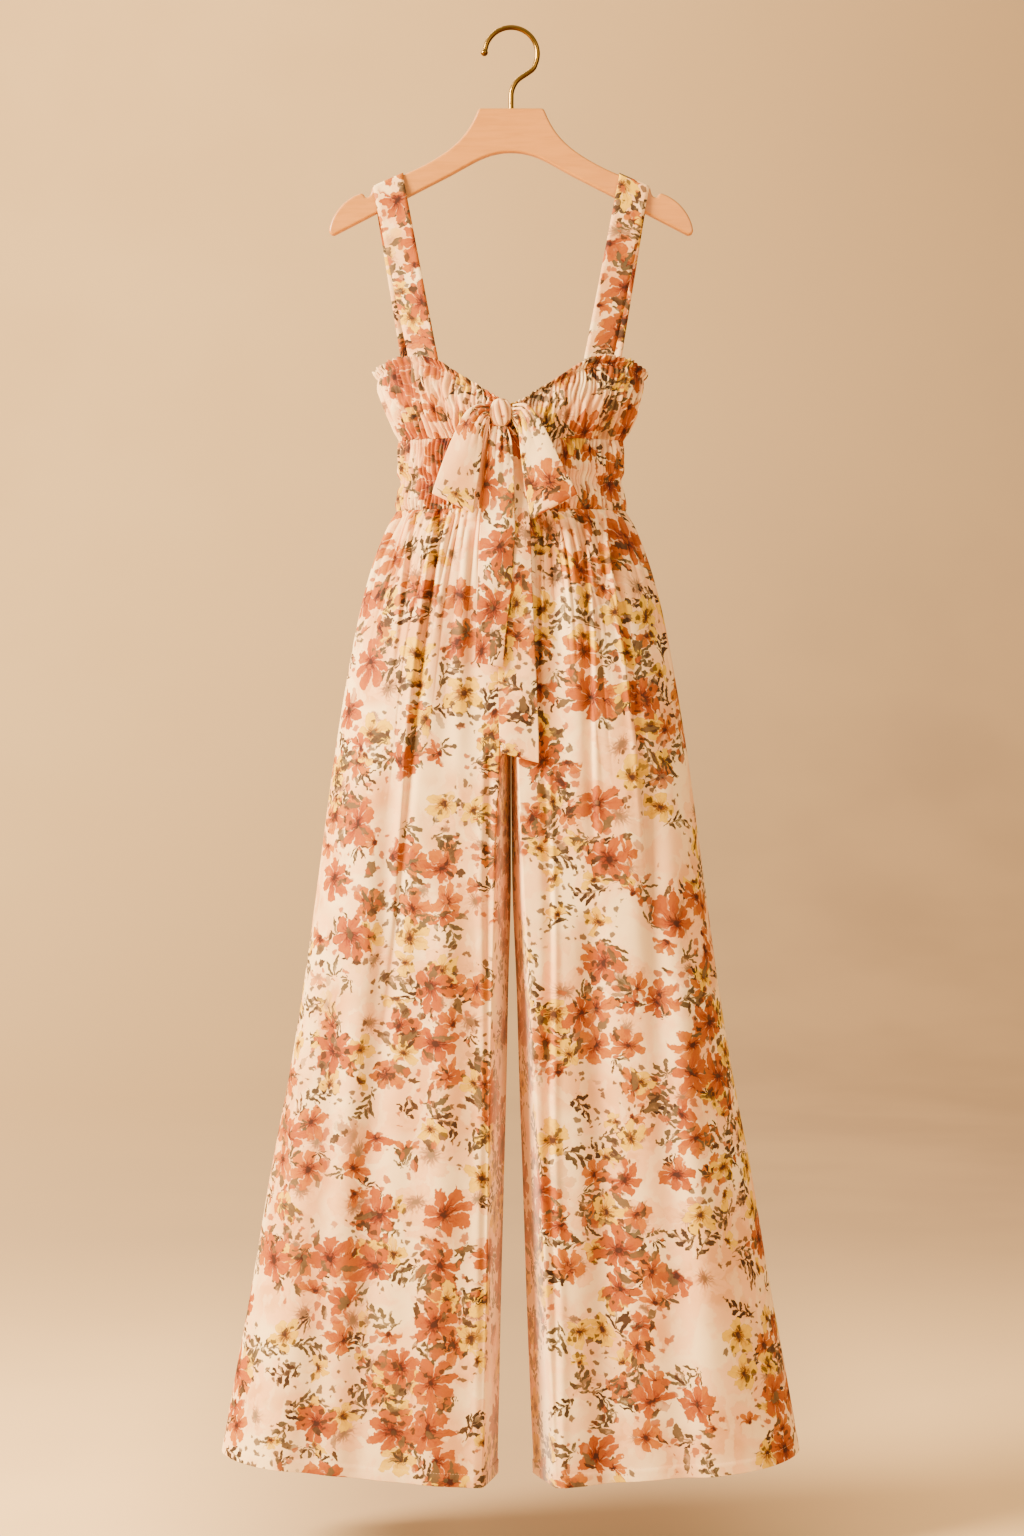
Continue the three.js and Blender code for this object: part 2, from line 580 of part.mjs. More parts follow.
// The wooden hanger's outline, from the top of its middle plate down the right arm and back up the left one.
const HANGER = { top: -87, arch: -135, plate: 36, reach: 200, shoulder: -181, tip: -226 };
function hangerOutline() {
  const outline = new THREE.Shape();
  outline.moveTo(-33, HANGER.top);
  outline.lineTo(33, HANGER.top);
  outline.lineTo(HANGER.plate, HANGER.top - 3);
  outline.bezierCurveTo(48, -118, 64, -134, BAR_EDGE.x - 14, barTop(BAR_EDGE.x - 14));
  outline.lineTo(153, barTop(153));
  outline.quadraticCurveTo(154, -186, 160, HANGER.shoulder - 4);
  outline.quadraticCurveTo(163, HANGER.shoulder + 1, 167, HANGER.shoulder);
  outline.bezierCurveTo(184, HANGER.shoulder - 6, 198, -204, HANGER.reach, -222);
  outline.quadraticCurveTo(HANGER.reach, HANGER.tip - 2, HANGER.reach - 6, HANGER.tip);
  outline.lineTo(66, -160);
  outline.bezierCurveTo(40, -146, 26, HANGER.arch, 0, HANGER.arch);
  outline.bezierCurveTo(-26, HANGER.arch, -40, -146, -66, -160);
  outline.lineTo(-(HANGER.reach - 6), HANGER.tip);
  outline.quadraticCurveTo(-HANGER.reach, HANGER.tip - 2, -HANGER.reach, -222);
  outline.bezierCurveTo(-198, -204, -184, HANGER.shoulder - 6, -167, HANGER.shoulder);
  outline.quadraticCurveTo(-163, HANGER.shoulder + 1, -160, HANGER.shoulder - 4);
  outline.quadraticCurveTo(-154, -186, -153, barTop(153));
  outline.lineTo(-(BAR_EDGE.x - 14), barTop(BAR_EDGE.x - 14));
  outline.bezierCurveTo(-64, -134, -48, -118, -HANGER.plate, HANGER.top - 3);
  return outline;
}

const HOOK_SUNK = 22;
function hangerBar() {
  const geometry = new THREE.ExtrudeGeometry(hangerOutline(), {
    depth: HANGER_THICK - 2 * HANGER_BEVEL,
    bevelThickness: HANGER_BEVEL,
    bevelSize: HANGER_BEVEL,
    bevelOffset: -HANGER_BEVEL,
    bevelSegments: 2,
    curveSegments: 6,
  });
  geometry.translate(0, 0, -(HANGER_THICK / 2 - HANGER_BEVEL));
  geometry.rotateX(Math.PI / 2);
  const hole = new THREE.CylinderGeometry(HOOK_WIRE / 2 + SEAM_GAP, HOOK_WIRE / 2 + SEAM_GAP, 2 * HOOK_SUNK, 16);
  hole.rotateX(Math.PI / 2);
  hole.translate(0, 0, HANGER.top);
  return geometryOf(solid(geometry).subtract(solid(hole)));
}

// The brass hook: a straight stem out of the wood, a bend, and an arc that ends in a small ball.
function hangerHook() {
  const centre = new THREE.Vector3(0, 0, HOOK_WIRE / 2 - HOOK_RADIUS);
  const onArc = (degrees) => {
    const angle = THREE.MathUtils.degToRad(degrees);
    return new THREE.Vector3(Math.cos(angle), 0, Math.sin(angle)).multiplyScalar(HOOK_RADIUS).add(centre);
  };
  const stem = [-HOOK_SUNK + 1, 0, 14].map((z) => new THREE.Vector3(0, 0, HANGER.top + z));
  const bend = [new THREE.Vector3(1, 0, -65), new THREE.Vector3(7, 0, -58)];
  const arc = Array.from({ length: 12 }, (_, i) => onArc(-38 + (i * 213) / 11));
  const path = new THREE.CatmullRomCurve3([...stem, ...bend, ...arc], false, "centripetal");
  const section = new THREE.Shape();
  section.absarc(0, 0, HOOK_WIRE / 2, 0, Math.PI * 2);
  const wire = new THREE.ExtrudeGeometry(section, {
    extrudePath: path,
    steps: 44,
    curveSegments: 5,
    bevelEnabled: false,
  });
  const ball = new THREE.SphereGeometry(4, 12, 8);
  ball.translate(...onArc(176).toArray());
  return geometryOf(solid(wire).add(solid(ball)));
}

const cotton = () => new THREE.MeshStandardMaterial({ color: 0xf2d3bf, roughness: 0.8, side: THREE.DoubleSide });
const beech = new THREE.MeshStandardMaterial({ color: 0xe2b287, roughness: 0.45 });
const brass = new THREE.MeshStandardMaterial({ color: 0xb9924f, roughness: 0.25, metalness: 1 });

const jumpsuit = new THREE.Group();
function add(name, geometry, material = cotton()) {
  const mesh = new THREE.Mesh(geometry, material);
  mesh.name = name;
  jumpsuit.add(mesh);
}

add("hanger_bar", hangerBar(), beech);
add("hanger_hook", hangerHook(), brass);
add("bust_back", bustBack());
add("midriff_front", midriff(-1));
add("midriff_back", midriff(1));
for (const [side, where] of [[-1, "left"], [1, "right"]]) {
  add("bust_front_" + where, bustFront(side));
  add("leg_front_" + where, legPanel(side, -1));
  add("leg_back_" + where, legPanel(side, 1));
  add("strap_" + where, strap(side));
}
add("bow_knot", bowKnot());
add("bow_loop_left", ribbon(LOOP_LEFT, 2));
add("bow_loop_right", ribbon(LOOP_RIGHT, 2));
add("bow_tail_short", ribbon(TAIL_SHORT, 2));
add("bow_tail_long", ribbon(TAIL_LONG, 1.5));

export default jumpsuit;
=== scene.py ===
import math

import bpy
import numpy as np
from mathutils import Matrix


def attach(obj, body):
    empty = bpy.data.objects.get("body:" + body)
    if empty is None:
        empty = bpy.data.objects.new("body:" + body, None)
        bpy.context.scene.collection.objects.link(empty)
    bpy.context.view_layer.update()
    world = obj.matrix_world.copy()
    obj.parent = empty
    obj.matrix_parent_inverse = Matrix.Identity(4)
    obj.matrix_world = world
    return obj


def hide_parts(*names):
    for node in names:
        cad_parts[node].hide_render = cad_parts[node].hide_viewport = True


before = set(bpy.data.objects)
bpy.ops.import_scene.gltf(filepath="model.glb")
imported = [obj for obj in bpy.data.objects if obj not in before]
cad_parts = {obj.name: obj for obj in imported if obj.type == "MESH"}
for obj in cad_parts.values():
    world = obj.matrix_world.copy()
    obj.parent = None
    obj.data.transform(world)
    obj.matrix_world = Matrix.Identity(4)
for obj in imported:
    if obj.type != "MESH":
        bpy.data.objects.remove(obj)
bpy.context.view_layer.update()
MM = 0.001


# The hook: brass-plated steel wire, bent cold into an arc over a straight stem and screwed into the wood.
# Its free end is finished with a small ball, so that it can't snag the cloth.
WIRE_RADIUS = 2.8
ARC_RADIUS = 29
ARC_CENTRE = WIRE_RADIUS - ARC_RADIUS
BALL_RADIUS = 4
STEM = [(0, -108), (0, -90), (0, -76), (0.4, -69), (2.6, -62), (8, -54.5)]


def smooth_path(points, count):
    """A line through the points with rounded corners, as count places along it."""
    points = np.array(points, float)
    ends = np.concatenate([[2 * points[0] - points[1]], points, [2 * points[-1] - points[-2]]])
    places = np.linspace(0, len(points) - 1, count)
    i = np.minimum(places.astype(int), len(points) - 2)
    t = (places - i).reshape((-1,) + (1,) * (points.ndim - 1))
    a, b, c, d = ends[i], ends[i + 1], ends[i + 2], ends[i + 3]
    return 0.5 * (2 * b + (c - a) * t + (2 * a - 5 * b + 4 * c - d) * t**2 + (3 * b - a - 3 * c + d) * t**3)


def wire(name, points, radii):
    curve = bpy.data.curves.new(name, "CURVE")
    curve.dimensions = "3D"
    curve.bevel_depth = 1
    curve.bevel_resolution = 6
    curve.use_fill_caps = True
    spline = curve.splines.new("POLY")
    spline.points.add(len(points) - 1)
    for place, point, radius in zip(spline.points, points, radii):
        place.co = (*point, 1)
        place.radius = radius
    spline.use_smooth = True
    made = bpy.data.objects.new(name, curve)
    bpy.context.collection.objects.link(made)
    return made


class Value:
    """A value in a material's nodes. Arithmetic on it adds Math nodes."""

    def __init__(self, tree, socket=None):
        self.tree = tree
        self.socket = socket

    def node(self, kind, settings, inputs, output=0):
        made = self.tree.nodes.new(kind)
        for name, setting in settings.items():
            setattr(made, name, setting)
        for name, given in inputs.items():
            if isinstance(given, Value):
                self.tree.links.new(given.socket, made.inputs[name])
            else:
                made.inputs[name].default_value = given
        return Value(self.tree, made.outputs[output])

    def output(self, name):
        """Another output of the node this value comes from."""
        return Value(self.tree, self.socket.node.outputs[name])

    def math(self, operation, *values):
        return self.node("ShaderNodeMath", {"operation": operation}, dict(enumerate(values)))

    def vector(self, operation, *values, output=0):
        return self.node("ShaderNodeVectorMath", {"operation": operation}, dict(enumerate(values)), output)

    def part(self, axis):
        return self.node("ShaderNodeSeparateXYZ", {}, {0: self}, axis)

    def step(self, low, high):
        """0 up to low and 1 from high on, with a soft rise between. High may be the lower of the two."""
        settings = {"interpolation_type": "SMOOTHSTEP"}
        return self.node("ShaderNodeMapRange", settings, {0: self, 1: low, 2: high, 3: 0.0, 4: 1.0})

    def blend(self, low, high):
        """The colour low where this value is 0, and high where it is 1."""
        return self.node("ShaderNodeMix", {"data_type": "RGBA"}, {0: self, 6: low, 7: high}, 2)

    def noise(self, scale, detail=2.0, output=0):
        settings = {"noise_dimensions": "2D"}
        return self.node("ShaderNodeTexNoise", settings, {"Vector": self, "Scale": scale, "Detail": detail}, output)

    def __add__(self, other):
        return self.math("ADD", self, other)

    def __radd__(self, other):
        return self.math("ADD", other, self)

    def __sub__(self, other):
        return self.math("SUBTRACT", self, other)

    def __rsub__(self, other):
        return self.math("SUBTRACT", other, self)

    def __mul__(self, other):
        return self.math("MULTIPLY", self, other)

    def __rmul__(self, other):
        return self.math("MULTIPLY", other, self)

    def __truediv__(self, other):
        return self.math("DIVIDE", self, other)

    def __rtruediv__(self, other):
        return self.math("DIVIDE", other, self)

    def __pow__(self, other):
        return self.math("POWER", self, other)

    def __abs__(self):
        return self.math("ABSOLUTE", self)


def colour(code):
    """A colour as Blender wants it, from its usual six-figure code."""
    parts = [int(code[i : i + 2], 16) / 255 for i in (1, 3, 5)]
    return (*[p / 12.92 if p <= 0.04045 else ((p + 0.055) / 1.055) ** 2.4 for p in parts], 1)


def new_material(name):
    """A material, its shader node and an empty value to build from."""
    made = bpy.data.materials.new(name)
    made.use_nodes = True
    return made, made.node_tree.nodes["Principled BSDF"], Value(made.node_tree)


def feed(value, shader, name):
    value.tree.links.new(value.socket, shader.inputs[name])


brass, shader, start = new_material("brass")
shader.inputs["Metallic"].default_value = 1
place = start.node("ShaderNodeTexCoord", {}, {}, "Object")
# Painted reflection and shade: the base colour is lighter on faces that turn up and to the left, and darker on faces
# that turn down, standing in for the lit room and the darker floor mirrored in the metal.
painted_reflection = place.output("Normal").part(2) * 0.5 + place.output("Normal").part(0) * -0.3 + 0.5
feed(painted_reflection.step(0.15, 1.0).blend(colour("#4e3208"), colour("#b4883c")), shader, "Base Color")
rubbed = place.node("ShaderNodeTexNoise", {}, {"Vector": place, "Scale": 90.0, "Detail": 3.0})
feed(rubbed * 0.12 + 0.18, shader, "Roughness")

angles = np.radians(np.linspace(-38, 172, 14))
arc = [(ARC_RADIUS * math.cos(a), ARC_CENTRE + ARC_RADIUS * math.sin(a)) for a in angles]
path = smooth_path(STEM + arc, 150)
tip = path[-1] - path[-2]
tip = tip / np.linalg.norm(tip)
bead = np.linspace(-0.7, 1, 12)
path = np.vstack([path[:-1], path[-1] + np.outer((bead + 0.7) * BALL_RADIUS, tip)])
radii = [WIRE_RADIUS] * 149 + [max(0.15, BALL_RADIUS * math.sqrt(max(0, 1 - b * b))) for b in bead]
hook = wire("hook", [(x * MM, 0, z * MM) for x, z in path], [r * MM for r in radii])
hook.data.materials.append(brass)
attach(hook, "root")
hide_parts("hanger_hook")


# The bar: a wishbone cut from a 12 mm board of pale wood, its edges rounded over and sealed with clear lacquer.
# Two notches near the ends keep straps from sliding off.
BAR_THICK = 12
BAR_ROUNDING = 2.4
PLATE_TOP = -87
PLATE_HALF = 36
ARCH_TOP = -135
BAR_SLOPE = -0.44
BAR_TIP = (200, -226)


def bar_top(x):
    """Height of the bar's straight upper edge."""
    return -160 + BAR_SLOPE * (x - 118.5)


def bezier(a, b, c, d, count=12):
    t = np.linspace(0, 1, count + 1)[1:, None]
    a, b, c, d = (np.array(p, float) for p in (a, b, c, d))
    return list(a * (1 - t) ** 3 + 3 * b * t * (1 - t) ** 2 + 3 * c * t**2 * (1 - t) + d * t**3)


arm = [(0, PLATE_TOP), (PLATE_HALF - 3, PLATE_TOP)]
arm += bezier((PLATE_HALF - 3, PLATE_TOP), (PLATE_HALF - 1, PLATE_TOP), (PLATE_HALF, -88), (PLATE_HALF + 1, -90), 4)
arm += bezier((PLATE_HALF + 1, -90), (48, -118), (64, -134), (104.5, bar_top(104.5)))
arm += [(153, bar_top(153))]
arm += bezier((153, bar_top(153)), (154, -184), (157, -185), (160, -185), 6)
arm += bezier((160, -185), (162, -180), (165, -180), (167, -181), 6)
arm += bezier((167, -181), (184, -187), (198, -204), (BAR_TIP[0], -221), 14)
arm += bezier((BAR_TIP[0], -221), (BAR_TIP[0], -224), (198, -226.5), (194, BAR_TIP[1]), 5)
arm += [(66, -160)]
arm += bezier((66, -160), (40, -146), (26, ARCH_TOP), (0, ARCH_TOP))
outline = arm + [(-x, z) for x, z in arm[-2:0:-1]]

curve = bpy.data.curves.new("bar", "CURVE")
curve.dimensions = "2D"
curve.fill_mode = "BOTH"
curve.extrude = (BAR_THICK / 2 - BAR_ROUNDING) * MM
curve.bevel_depth = BAR_ROUNDING * MM
curve.offset = -BAR_ROUNDING * MM
curve.bevel_resolution = 4
spline = curve.splines.new("POLY")
spline.points.add(len(outline) - 1)
for point, (x, z) in zip(spline.points, outline):
    point.co = (x * MM, z * MM, 0, 1)
spline.use_cyclic_u = True
bar = bpy.data.objects.new("bar", curve)
bar.rotation_euler = (math.pi / 2, 0, 0)
bpy.context.collection.objects.link(bar)

wood, shader, start = new_material("wood")
place = start.node("ShaderNodeTexCoord", {}, {}, "Object")
stretched = place.vector("MULTIPLY", place, (3.0, 26.0, 9.0))
grain = place.node("ShaderNodeTexNoise", {}, {"Vector": stretched, "Scale": 9.0, "Detail": 6.0, "Distortion": 0.6})
fine = place.vector("MULTIPLY", place, (14.0, 420.0, 60.0))
pores = place.node("ShaderNodeTexNoise", {}, {"Vector": fine, "Scale": 3.0, "Detail": 3.0})
tone = grain.step(0.3, 0.72).blend(colour("#c88026"), colour("#bd761c"))
tone = (pores.step(0.58, 0.75) * 0.16).blend(tone, colour("#8a5a28"))
feed(tone, shader, "Base Color")
feed(pores * 0.12 + 0.34, shader, "Roughness")
shader.inputs["Coat Weight"].default_value = 0.25
shader.inputs["Coat Roughness"].default_value = 0.3
bar.data.materials.append(wood)
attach(bar, "root")
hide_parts("hanger_bar")


# The cloth: thin woven cotton, printed with loose watercolour flowers, leaves and sprigs on a blush ground.
# The print lies in the cloth's own flat sizes, so it is squeezed wherever the cloth is gathered.
GROUND = {"cream": "#ffd692", "blush": "#e5a05a", "peach": "#fab874"}
BUNCHES = 11.5
FLOWERS = {
    # per_metre: places for a flower in a metre. field and above: which map of bunches it follows, and how high on it.
    "faint": dict(per_metre=16, shift=0.31, petals=5, deep="#e29a55", pale="#f8b670", field=1.7, above=0.4, strength=0.8),
    "coral": dict(per_metre=21, shift=1.73, petals=6, deep="#963f00", pale="#b46200", field=0.0, above=0.448, strength=1.0),
    "yellow": dict(per_metre=23, shift=3.37, petals=5, deep="#c08600", pale="#e6b000", field=4.3, above=0.51, strength=1.0),
    "orange": dict(per_metre=17, shift=5.11, petals=7, deep="#8a3400", pale="#a65000", field=0.0, above=0.476, strength=1.0),
}
FANS = dict(per_metre=24, shift=6.13, leaves=9, tone="#331c06", other="#5c4828", field=0.0, above=0.452)
SPRIGS = dict(per_metre=22, shift=4.59, tone="#382008", other="#5a4626", field=4.3, above=0.47)
LEAVES = dict(per_metre=32, shift=7.57, tone="#40240a", other="#664a26", field=0.0, above=0.508)
BUDS = dict(per_metre=64, shift=9.1, size=0.24, ink="#a04c08", field=0.0, above=0.5)
SPECKS = dict(per_metre=84, shift=11.7, size=0.24, ink="#44280e", field=4.3, above=0.51)

cotton, shader, start = new_material("printed cotton")
flat = start.node("ShaderNodeUVMap", {"uv_map": "cloth"}, {})


def shifted(place, amount, by):
    """The place moved about by a noise colour."""
    off = place.vector("SUBTRACT", by, (0.5, 0.5, 0.5))
    off = place.vector("MULTIPLY", off, (amount, amount, 0.0))
    return place.vector("ADD", place, off)


loose = shifted(flat, 0.014, flat.noise(30.0, 0.0, output=1))
inked = shifted(loose, 0.0055, flat.noise(190.0, 1.0, output=1))
wash = inked.noise(95.0, 2.0)


def cells(kind, spread):
    """For the nearest motif: the way to the point from its middle in cells, random numbers, and 1 if it is printed."""
    scale, shift = kind["per_metre"], kind["shift"]
    scaled = inked.vector("MULTIPLY_ADD", inked, (scale, scale, 0.0), (shift * scale, shift * scale * 0.7, 0.0))
    settings = {"voronoi_dimensions": "2D"}
    nearest = inked.node("ShaderNodeTexVoronoi", settings, {"Vector": scaled, "Scale": 1.0, "Randomness": spread})
    middle = nearest.output("Position")
    chance = nearest.output("Color")
    offset = (kind["field"] - shift, -shift * 0.56, 0.0)
    spot = inked.vector("MULTIPLY_ADD", middle, (1.0 / scale, 0.8 / scale, 0.0), offset)
    bunch = spot.noise(BUNCHES, 0.0) + (chance.part(2) - 0.5) * 0.12
    return inked.vector("SUBTRACT", scaled, middle), chance, bunch.step(kind["above"], kind["above"] + 0.01)


tone = flat.noise(10.0, 2.0).step(0.42, 0.66).blend(colour(GROUND["cream"]), colour(GROUND["blush"]))
tone = (inked.noise(26.0, 2.0).step(0.46, 0.6) * 0.7).blend(tone, colour(GROUND["peach"]))
streaked = inked.vector("MULTIPLY", inked, (1.0, 0.45, 0.0)).noise(75.0, 1.0)
tone = (streaked.step(0.54, 0.62) * 0.5).blend(tone, colour(GROUND["cream"]))


def turned(away, chance):
    turn = chance.part(0) * math.tau
    cos, sin = turn.math("COSINE", turn), turn.math("SINE", turn)
    x, y = away.part(0), away.part(1)
    return x * cos + y * sin, y * cos - x * sin


def leaf_ink(kind, chance):
    return (chance.part(1) * 0.6 + wash * 0.9).step(0.45, 1.0).blend(colour(kind["tone"]), colour(kind["other"]))


def print_sprigs(tone, kind):
    """Curved stems with pairs of pointed leaves that shorten towards both ends."""
    away, chance, printed = cells(kind, 0.8)
    along, across = turned(away, chance)
    across = across + along * along * 0.9
    side = abs(across)
    alternate = across.math("SIGN", across) * 0.25
    leaf = abs(across.math("FRACT", (along - side * 0.8) / 0.23 + alternate + 8.0) - 0.5)
    reach = side / ((0.5 - abs(along)) * 0.62)
    arch = reach * (1.0 - reach) * 4.0
    width = arch.math("MAXIMUM", arch, 0.0) ** 0.7 * 0.36
    leaves = (width - leaf).step(0.0, 0.06) * abs(along).step(0.44, 0.4)
    stem = side.step(0.03, 0.014) * abs(along).step(0.48, 0.44)
    mask = leaves.math("MAXIMUM", leaves, stem * 0.9) * printed
    return (mask * (1.0 - wash.step(0.58, 0.75) * 0.3)).blend(tone, leaf_ink(kind, chance))


def print_fans(tone, kind):
    """Narrow leaves that spread from one point to one side, the middle one longest."""
    away, chance, printed = cells(kind, 0.9)
    angle = away.math("ARCTAN2", away.part(1), away.part(0)) + chance.part(0) * math.tau
    ring = angle * (kind["leaves"] / 2)
    leaf = abs(ring.math("SINE", ring)) ** 1.5
    reach = (angle.math("COSINE", angle) * 0.62 + 0.34) * (chance.part(1) * 0.2 + 0.42)
    far = away.vector("LENGTH", away, output="Value")
    mask = (leaf * reach - far).step(0.0, 0.025) * far.step(0.03, 0.06) * printed
    return (mask * (0.98 - wash.step(0.55, 0.75) * 0.3)).blend(tone, leaf_ink(kind, chance))


def print_leaves(tone, kind):
    """Single pointed leaves, two or three times as long as they are wide."""
    away, chance, printed = cells(kind, 1.0)
    along, across = turned(away, chance)
    long = chance.part(1) * 0.16 + 0.22
    share = along / long
    width = (1.0 - share * share) * long * 0.4
    mask = (width - abs(across)).step(0.0, 0.02) * printed
    return (mask * (0.98 - wash.step(0.55, 0.75) * 0.35)).blend(tone, leaf_ink(kind, chance))


def print_flowers(tone, kind):
    """Flowers seen from the front, and some from the side with half their petals, darker to the middle."""
    away, chance, printed = cells(kind, 0.6)
    angle = away.math("ARCTAN2", away.part(1), away.part(0)) + chance.part(0) * math.tau
    size = chance.part(1) * 0.2 + 0.3
    far = away.vector("LENGTH", away, output="Value") / size
    ring = angle * (kind["petals"] / 2)
    petal = abs(ring.math("SINE", ring))
    edge = petal**0.55 * 0.54 + 0.42 + (wash - 0.5) * 0.5
    aside = (angle.math("COSINE", angle) + chance.part(1) * 2.6).step(0.1, 0.4)
    inside = (edge - far).step(0.0, 0.05) * aside.math("MAXIMUM", aside, far.step(0.3, 0.2))
    out = far / edge
    streak = angle * (kind["petals"] * 3.0)
    paint = (out + streak.math("SINE", streak) * 0.12 + wash * 1.1 - 0.55).step(0.0, 0.85)
    petals = paint.blend(colour(kind["deep"]), colour(kind["pale"]))
    petals = ((1.0 - petal).step(0.7, 1.0) * out.step(0.25, 0.7) * 0.55).blend(petals, colour("#ffcf94"))
    petals = (out.step(0.86, 0.98) * 0.4).blend(petals, colour(kind["deep"]))
    petals = ((far + streak.math("SINE", streak) * 0.08).step(0.44, 0.1) * 0.85).blend(petals, colour("#6a2204"))
    spread = angle * 9.0
    stamens = spread.math("SINE", spread).step(0.0, 0.6) * far.step(0.33, 0.25)
    dark = stamens.math("MAXIMUM", stamens * 0.75, far.step(0.17, 0.1))
    petals = (dark * 0.85).blend(petals, colour("#2c1402"))
    return (inside * printed * kind["strength"] * (1.0 - wash.step(0.62, 0.8) * 0.12)).blend(tone, petals)


def print_specks(tone, kind):
    away, chance, printed = cells(kind, 1.0)
    far = away.vector("LENGTH", away, output="Value")
    mask = (chance.part(1) * kind["size"] + kind["size"] * 0.4 - far).step(0.0, 0.08) * printed
    return (mask * 0.85).blend(tone, colour(kind["ink"]))


tone = print_flowers(tone, FLOWERS["faint"])
tone = print_sprigs(tone, SPRIGS)
tone = print_flowers(tone, FLOWERS["coral"])
tone = print_flowers(tone, FLOWERS["yellow"])
tone = print_fans(tone, FANS)
tone = print_flowers(tone, FLOWERS["orange"])
tone = print_leaves(tone, LEAVES)
tone = print_specks(tone, BUDS)
tone = print_specks(tone, SPECKS)
# Painted shade: the print is darkened and turned towards brown where the cloth lies down between folds and gathers, by
# the amount each piece carries in its second map.
painted_shading = start.node("ShaderNodeUVMap", {"uv_map": "painted_shading"}, {}).part(0)
tone = (painted_shading * 0.85).blend(tone, start.vector("MULTIPLY", tone, (0.42, 0.26, 0.22)))
# Painted light: where that amount is below 0, on the inner sides of the legs that face each other, the print is
# lightened towards pale peach.
tone = (painted_shading * -0.3).blend(tone, colour("#ffe2c8"))
feed(tone, shader, "Base Color")
shader.inputs["Roughness"].default_value = 0.78
shader.inputs["Specular IOR Level"].default_value = 0.25
crinkle = flat.noise(55.0, 2.0) * 0.7 + flat.noise(900.0, 0.0) * 0.06
bump = crinkle.node("ShaderNodeBump", {}, {"Height": crinkle, "Distance": 0.0012, "Strength": 0.6})
feed(bump, shader, "Normal")


# The shoulder straps: tubes of the printed cotton turned right side out and pressed flat, 33 mm wide.
# Each is sewn inside the front neck edge, goes over the bar and is sewn inside the back neck edge.
BODY = {
    "down": (360, 380, 414, 440, 453, 475, 500, 530),
    "half_width": (150, 148, 137, 127, 124, 122, 122, 126),
    "front": (44, 49, 54, 50, 47, 45, 45, 48),
    "back": (40, 43, 46, 45, 44, 43, 43, 46),
}
FRONT_NECK = {
    "share": (0, 0.2, 0.41, 0.52, 0.63, 0.74, 0.87, 0.95, 1),
    "down": (380, 372, 364, 362, 367, 382, 401, 413, 417),
}
BACK_NECK = {
    "share": (0, 0.25, 0.5, 0.65, 0.82, 1),
    "down": (380, 371, 368, 380, 400, 412),
}
STRAP_HALF = 16.5
STRAP_THICK = 1.6
STRAP_LIE = 4.4
STRAP_FOOT = {"front": 96, "back": 104}
STRAP_ON_BAR = 135


def through(table, key, column, at):
    """A table's column at values of its key, joined smoothly between the rows without overshooting."""
    keys = np.array(table[key], float)
    values = np.array(table[column], float)
    steps = np.diff(keys)
    slopes = np.diff(values) / steps
    product = slopes[:-1] * slopes[1:]
    total = slopes[:-1] + slopes[1:]
    inner = np.where(product > 0, 2 * product / np.where(total == 0, 1, total), 0)
    tangents = np.concatenate([slopes[:1], inner, slopes[-1:]])
    i = np.clip(np.searchsorted(keys, at) - 1, 0, len(keys) - 2)
    t = np.clip((at - keys[i]) / steps[i], 0, 1)
    low = (2 * t**3 - 3 * t**2 + 1) * values[i] + (t**3 - 2 * t**2 + t) * steps[i] * tangents[i]
    return low + (3 * t**2 - 2 * t**3) * values[i + 1] + (t**3 - t**2) * steps[i] * tangents[i + 1]


def cloth(name, points, flat, thick=0, painted_shading=None):
    """A sheet of printed cotton that stands for the node of its name, over a grid of points in millimetres.
    flat is each point's place in the flat cloth, and the last argument how far it lies down between folds, from 0 to 1,
    painted into the print as shade (below 0 on the sides that face each other, painted into it as light)."""
    rows, columns = points.shape[:2]
    index = np.arange(rows * columns).reshape(rows, columns)
    corners = np.stack([index[:-1, :-1], index[:-1, 1:], index[1:, 1:], index[1:, :-1]], -1).reshape(-1, 4)
    mesh = bpy.data.meshes.new(name)
    mesh.from_pydata((points.reshape(-1, 3) * MM).tolist(), [], corners.tolist())
    layer = mesh.uv_layers.new(name="cloth")
    layer.data.foreach_set("uv", (flat.reshape(-1, 2)[corners.ravel()] * MM).ravel())
    # The amounts of painted shade and painted light go into a second map that the material reads.
    depth = np.zeros(rows * columns) if painted_shading is None else painted_shading.ravel()
    layer = mesh.uv_layers.new(name="painted_shading")
    layer.data.foreach_set("uv", np.repeat(depth[corners.ravel()], 2))
    mesh.shade_smooth()
    mesh.materials.append(cotton)
    made = bpy.data.objects.new(name + "_cloth", mesh)
    bpy.context.collection.objects.link(made)
    if thick:
        solidify = made.modifiers.new("thickness", "SOLIDIFY")
        solidify.thickness = thick * MM
        solidify.offset = 0
    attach(made, "root")
    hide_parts(name)
    return made


def strap_foot(side, face, reach):
    """The two places inside the body where one line along a strap begins: its end, and where it passes the neck edge."""
    x = STRAP_FOOT[face] + reach * STRAP_HALF
    sign = -1 if face == "front" else 1
    share = math.acos(x / through(BODY, "down", "half_width", 368)) * 2 / math.pi
    neck = through(FRONT_NECK if face == "front" else BACK_NECK, "share", "down", share)
    places = []
    for down in (neck + 14, neck - 1):
        wide = through(BODY, "down", "half_width", down) - STRAP_LIE
        deep = through(BODY, "down", face, down) - STRAP_LIE
        places.append((side * x, sign * deep * math.sqrt(1 - (x / wide) ** 2), -down))
    return places


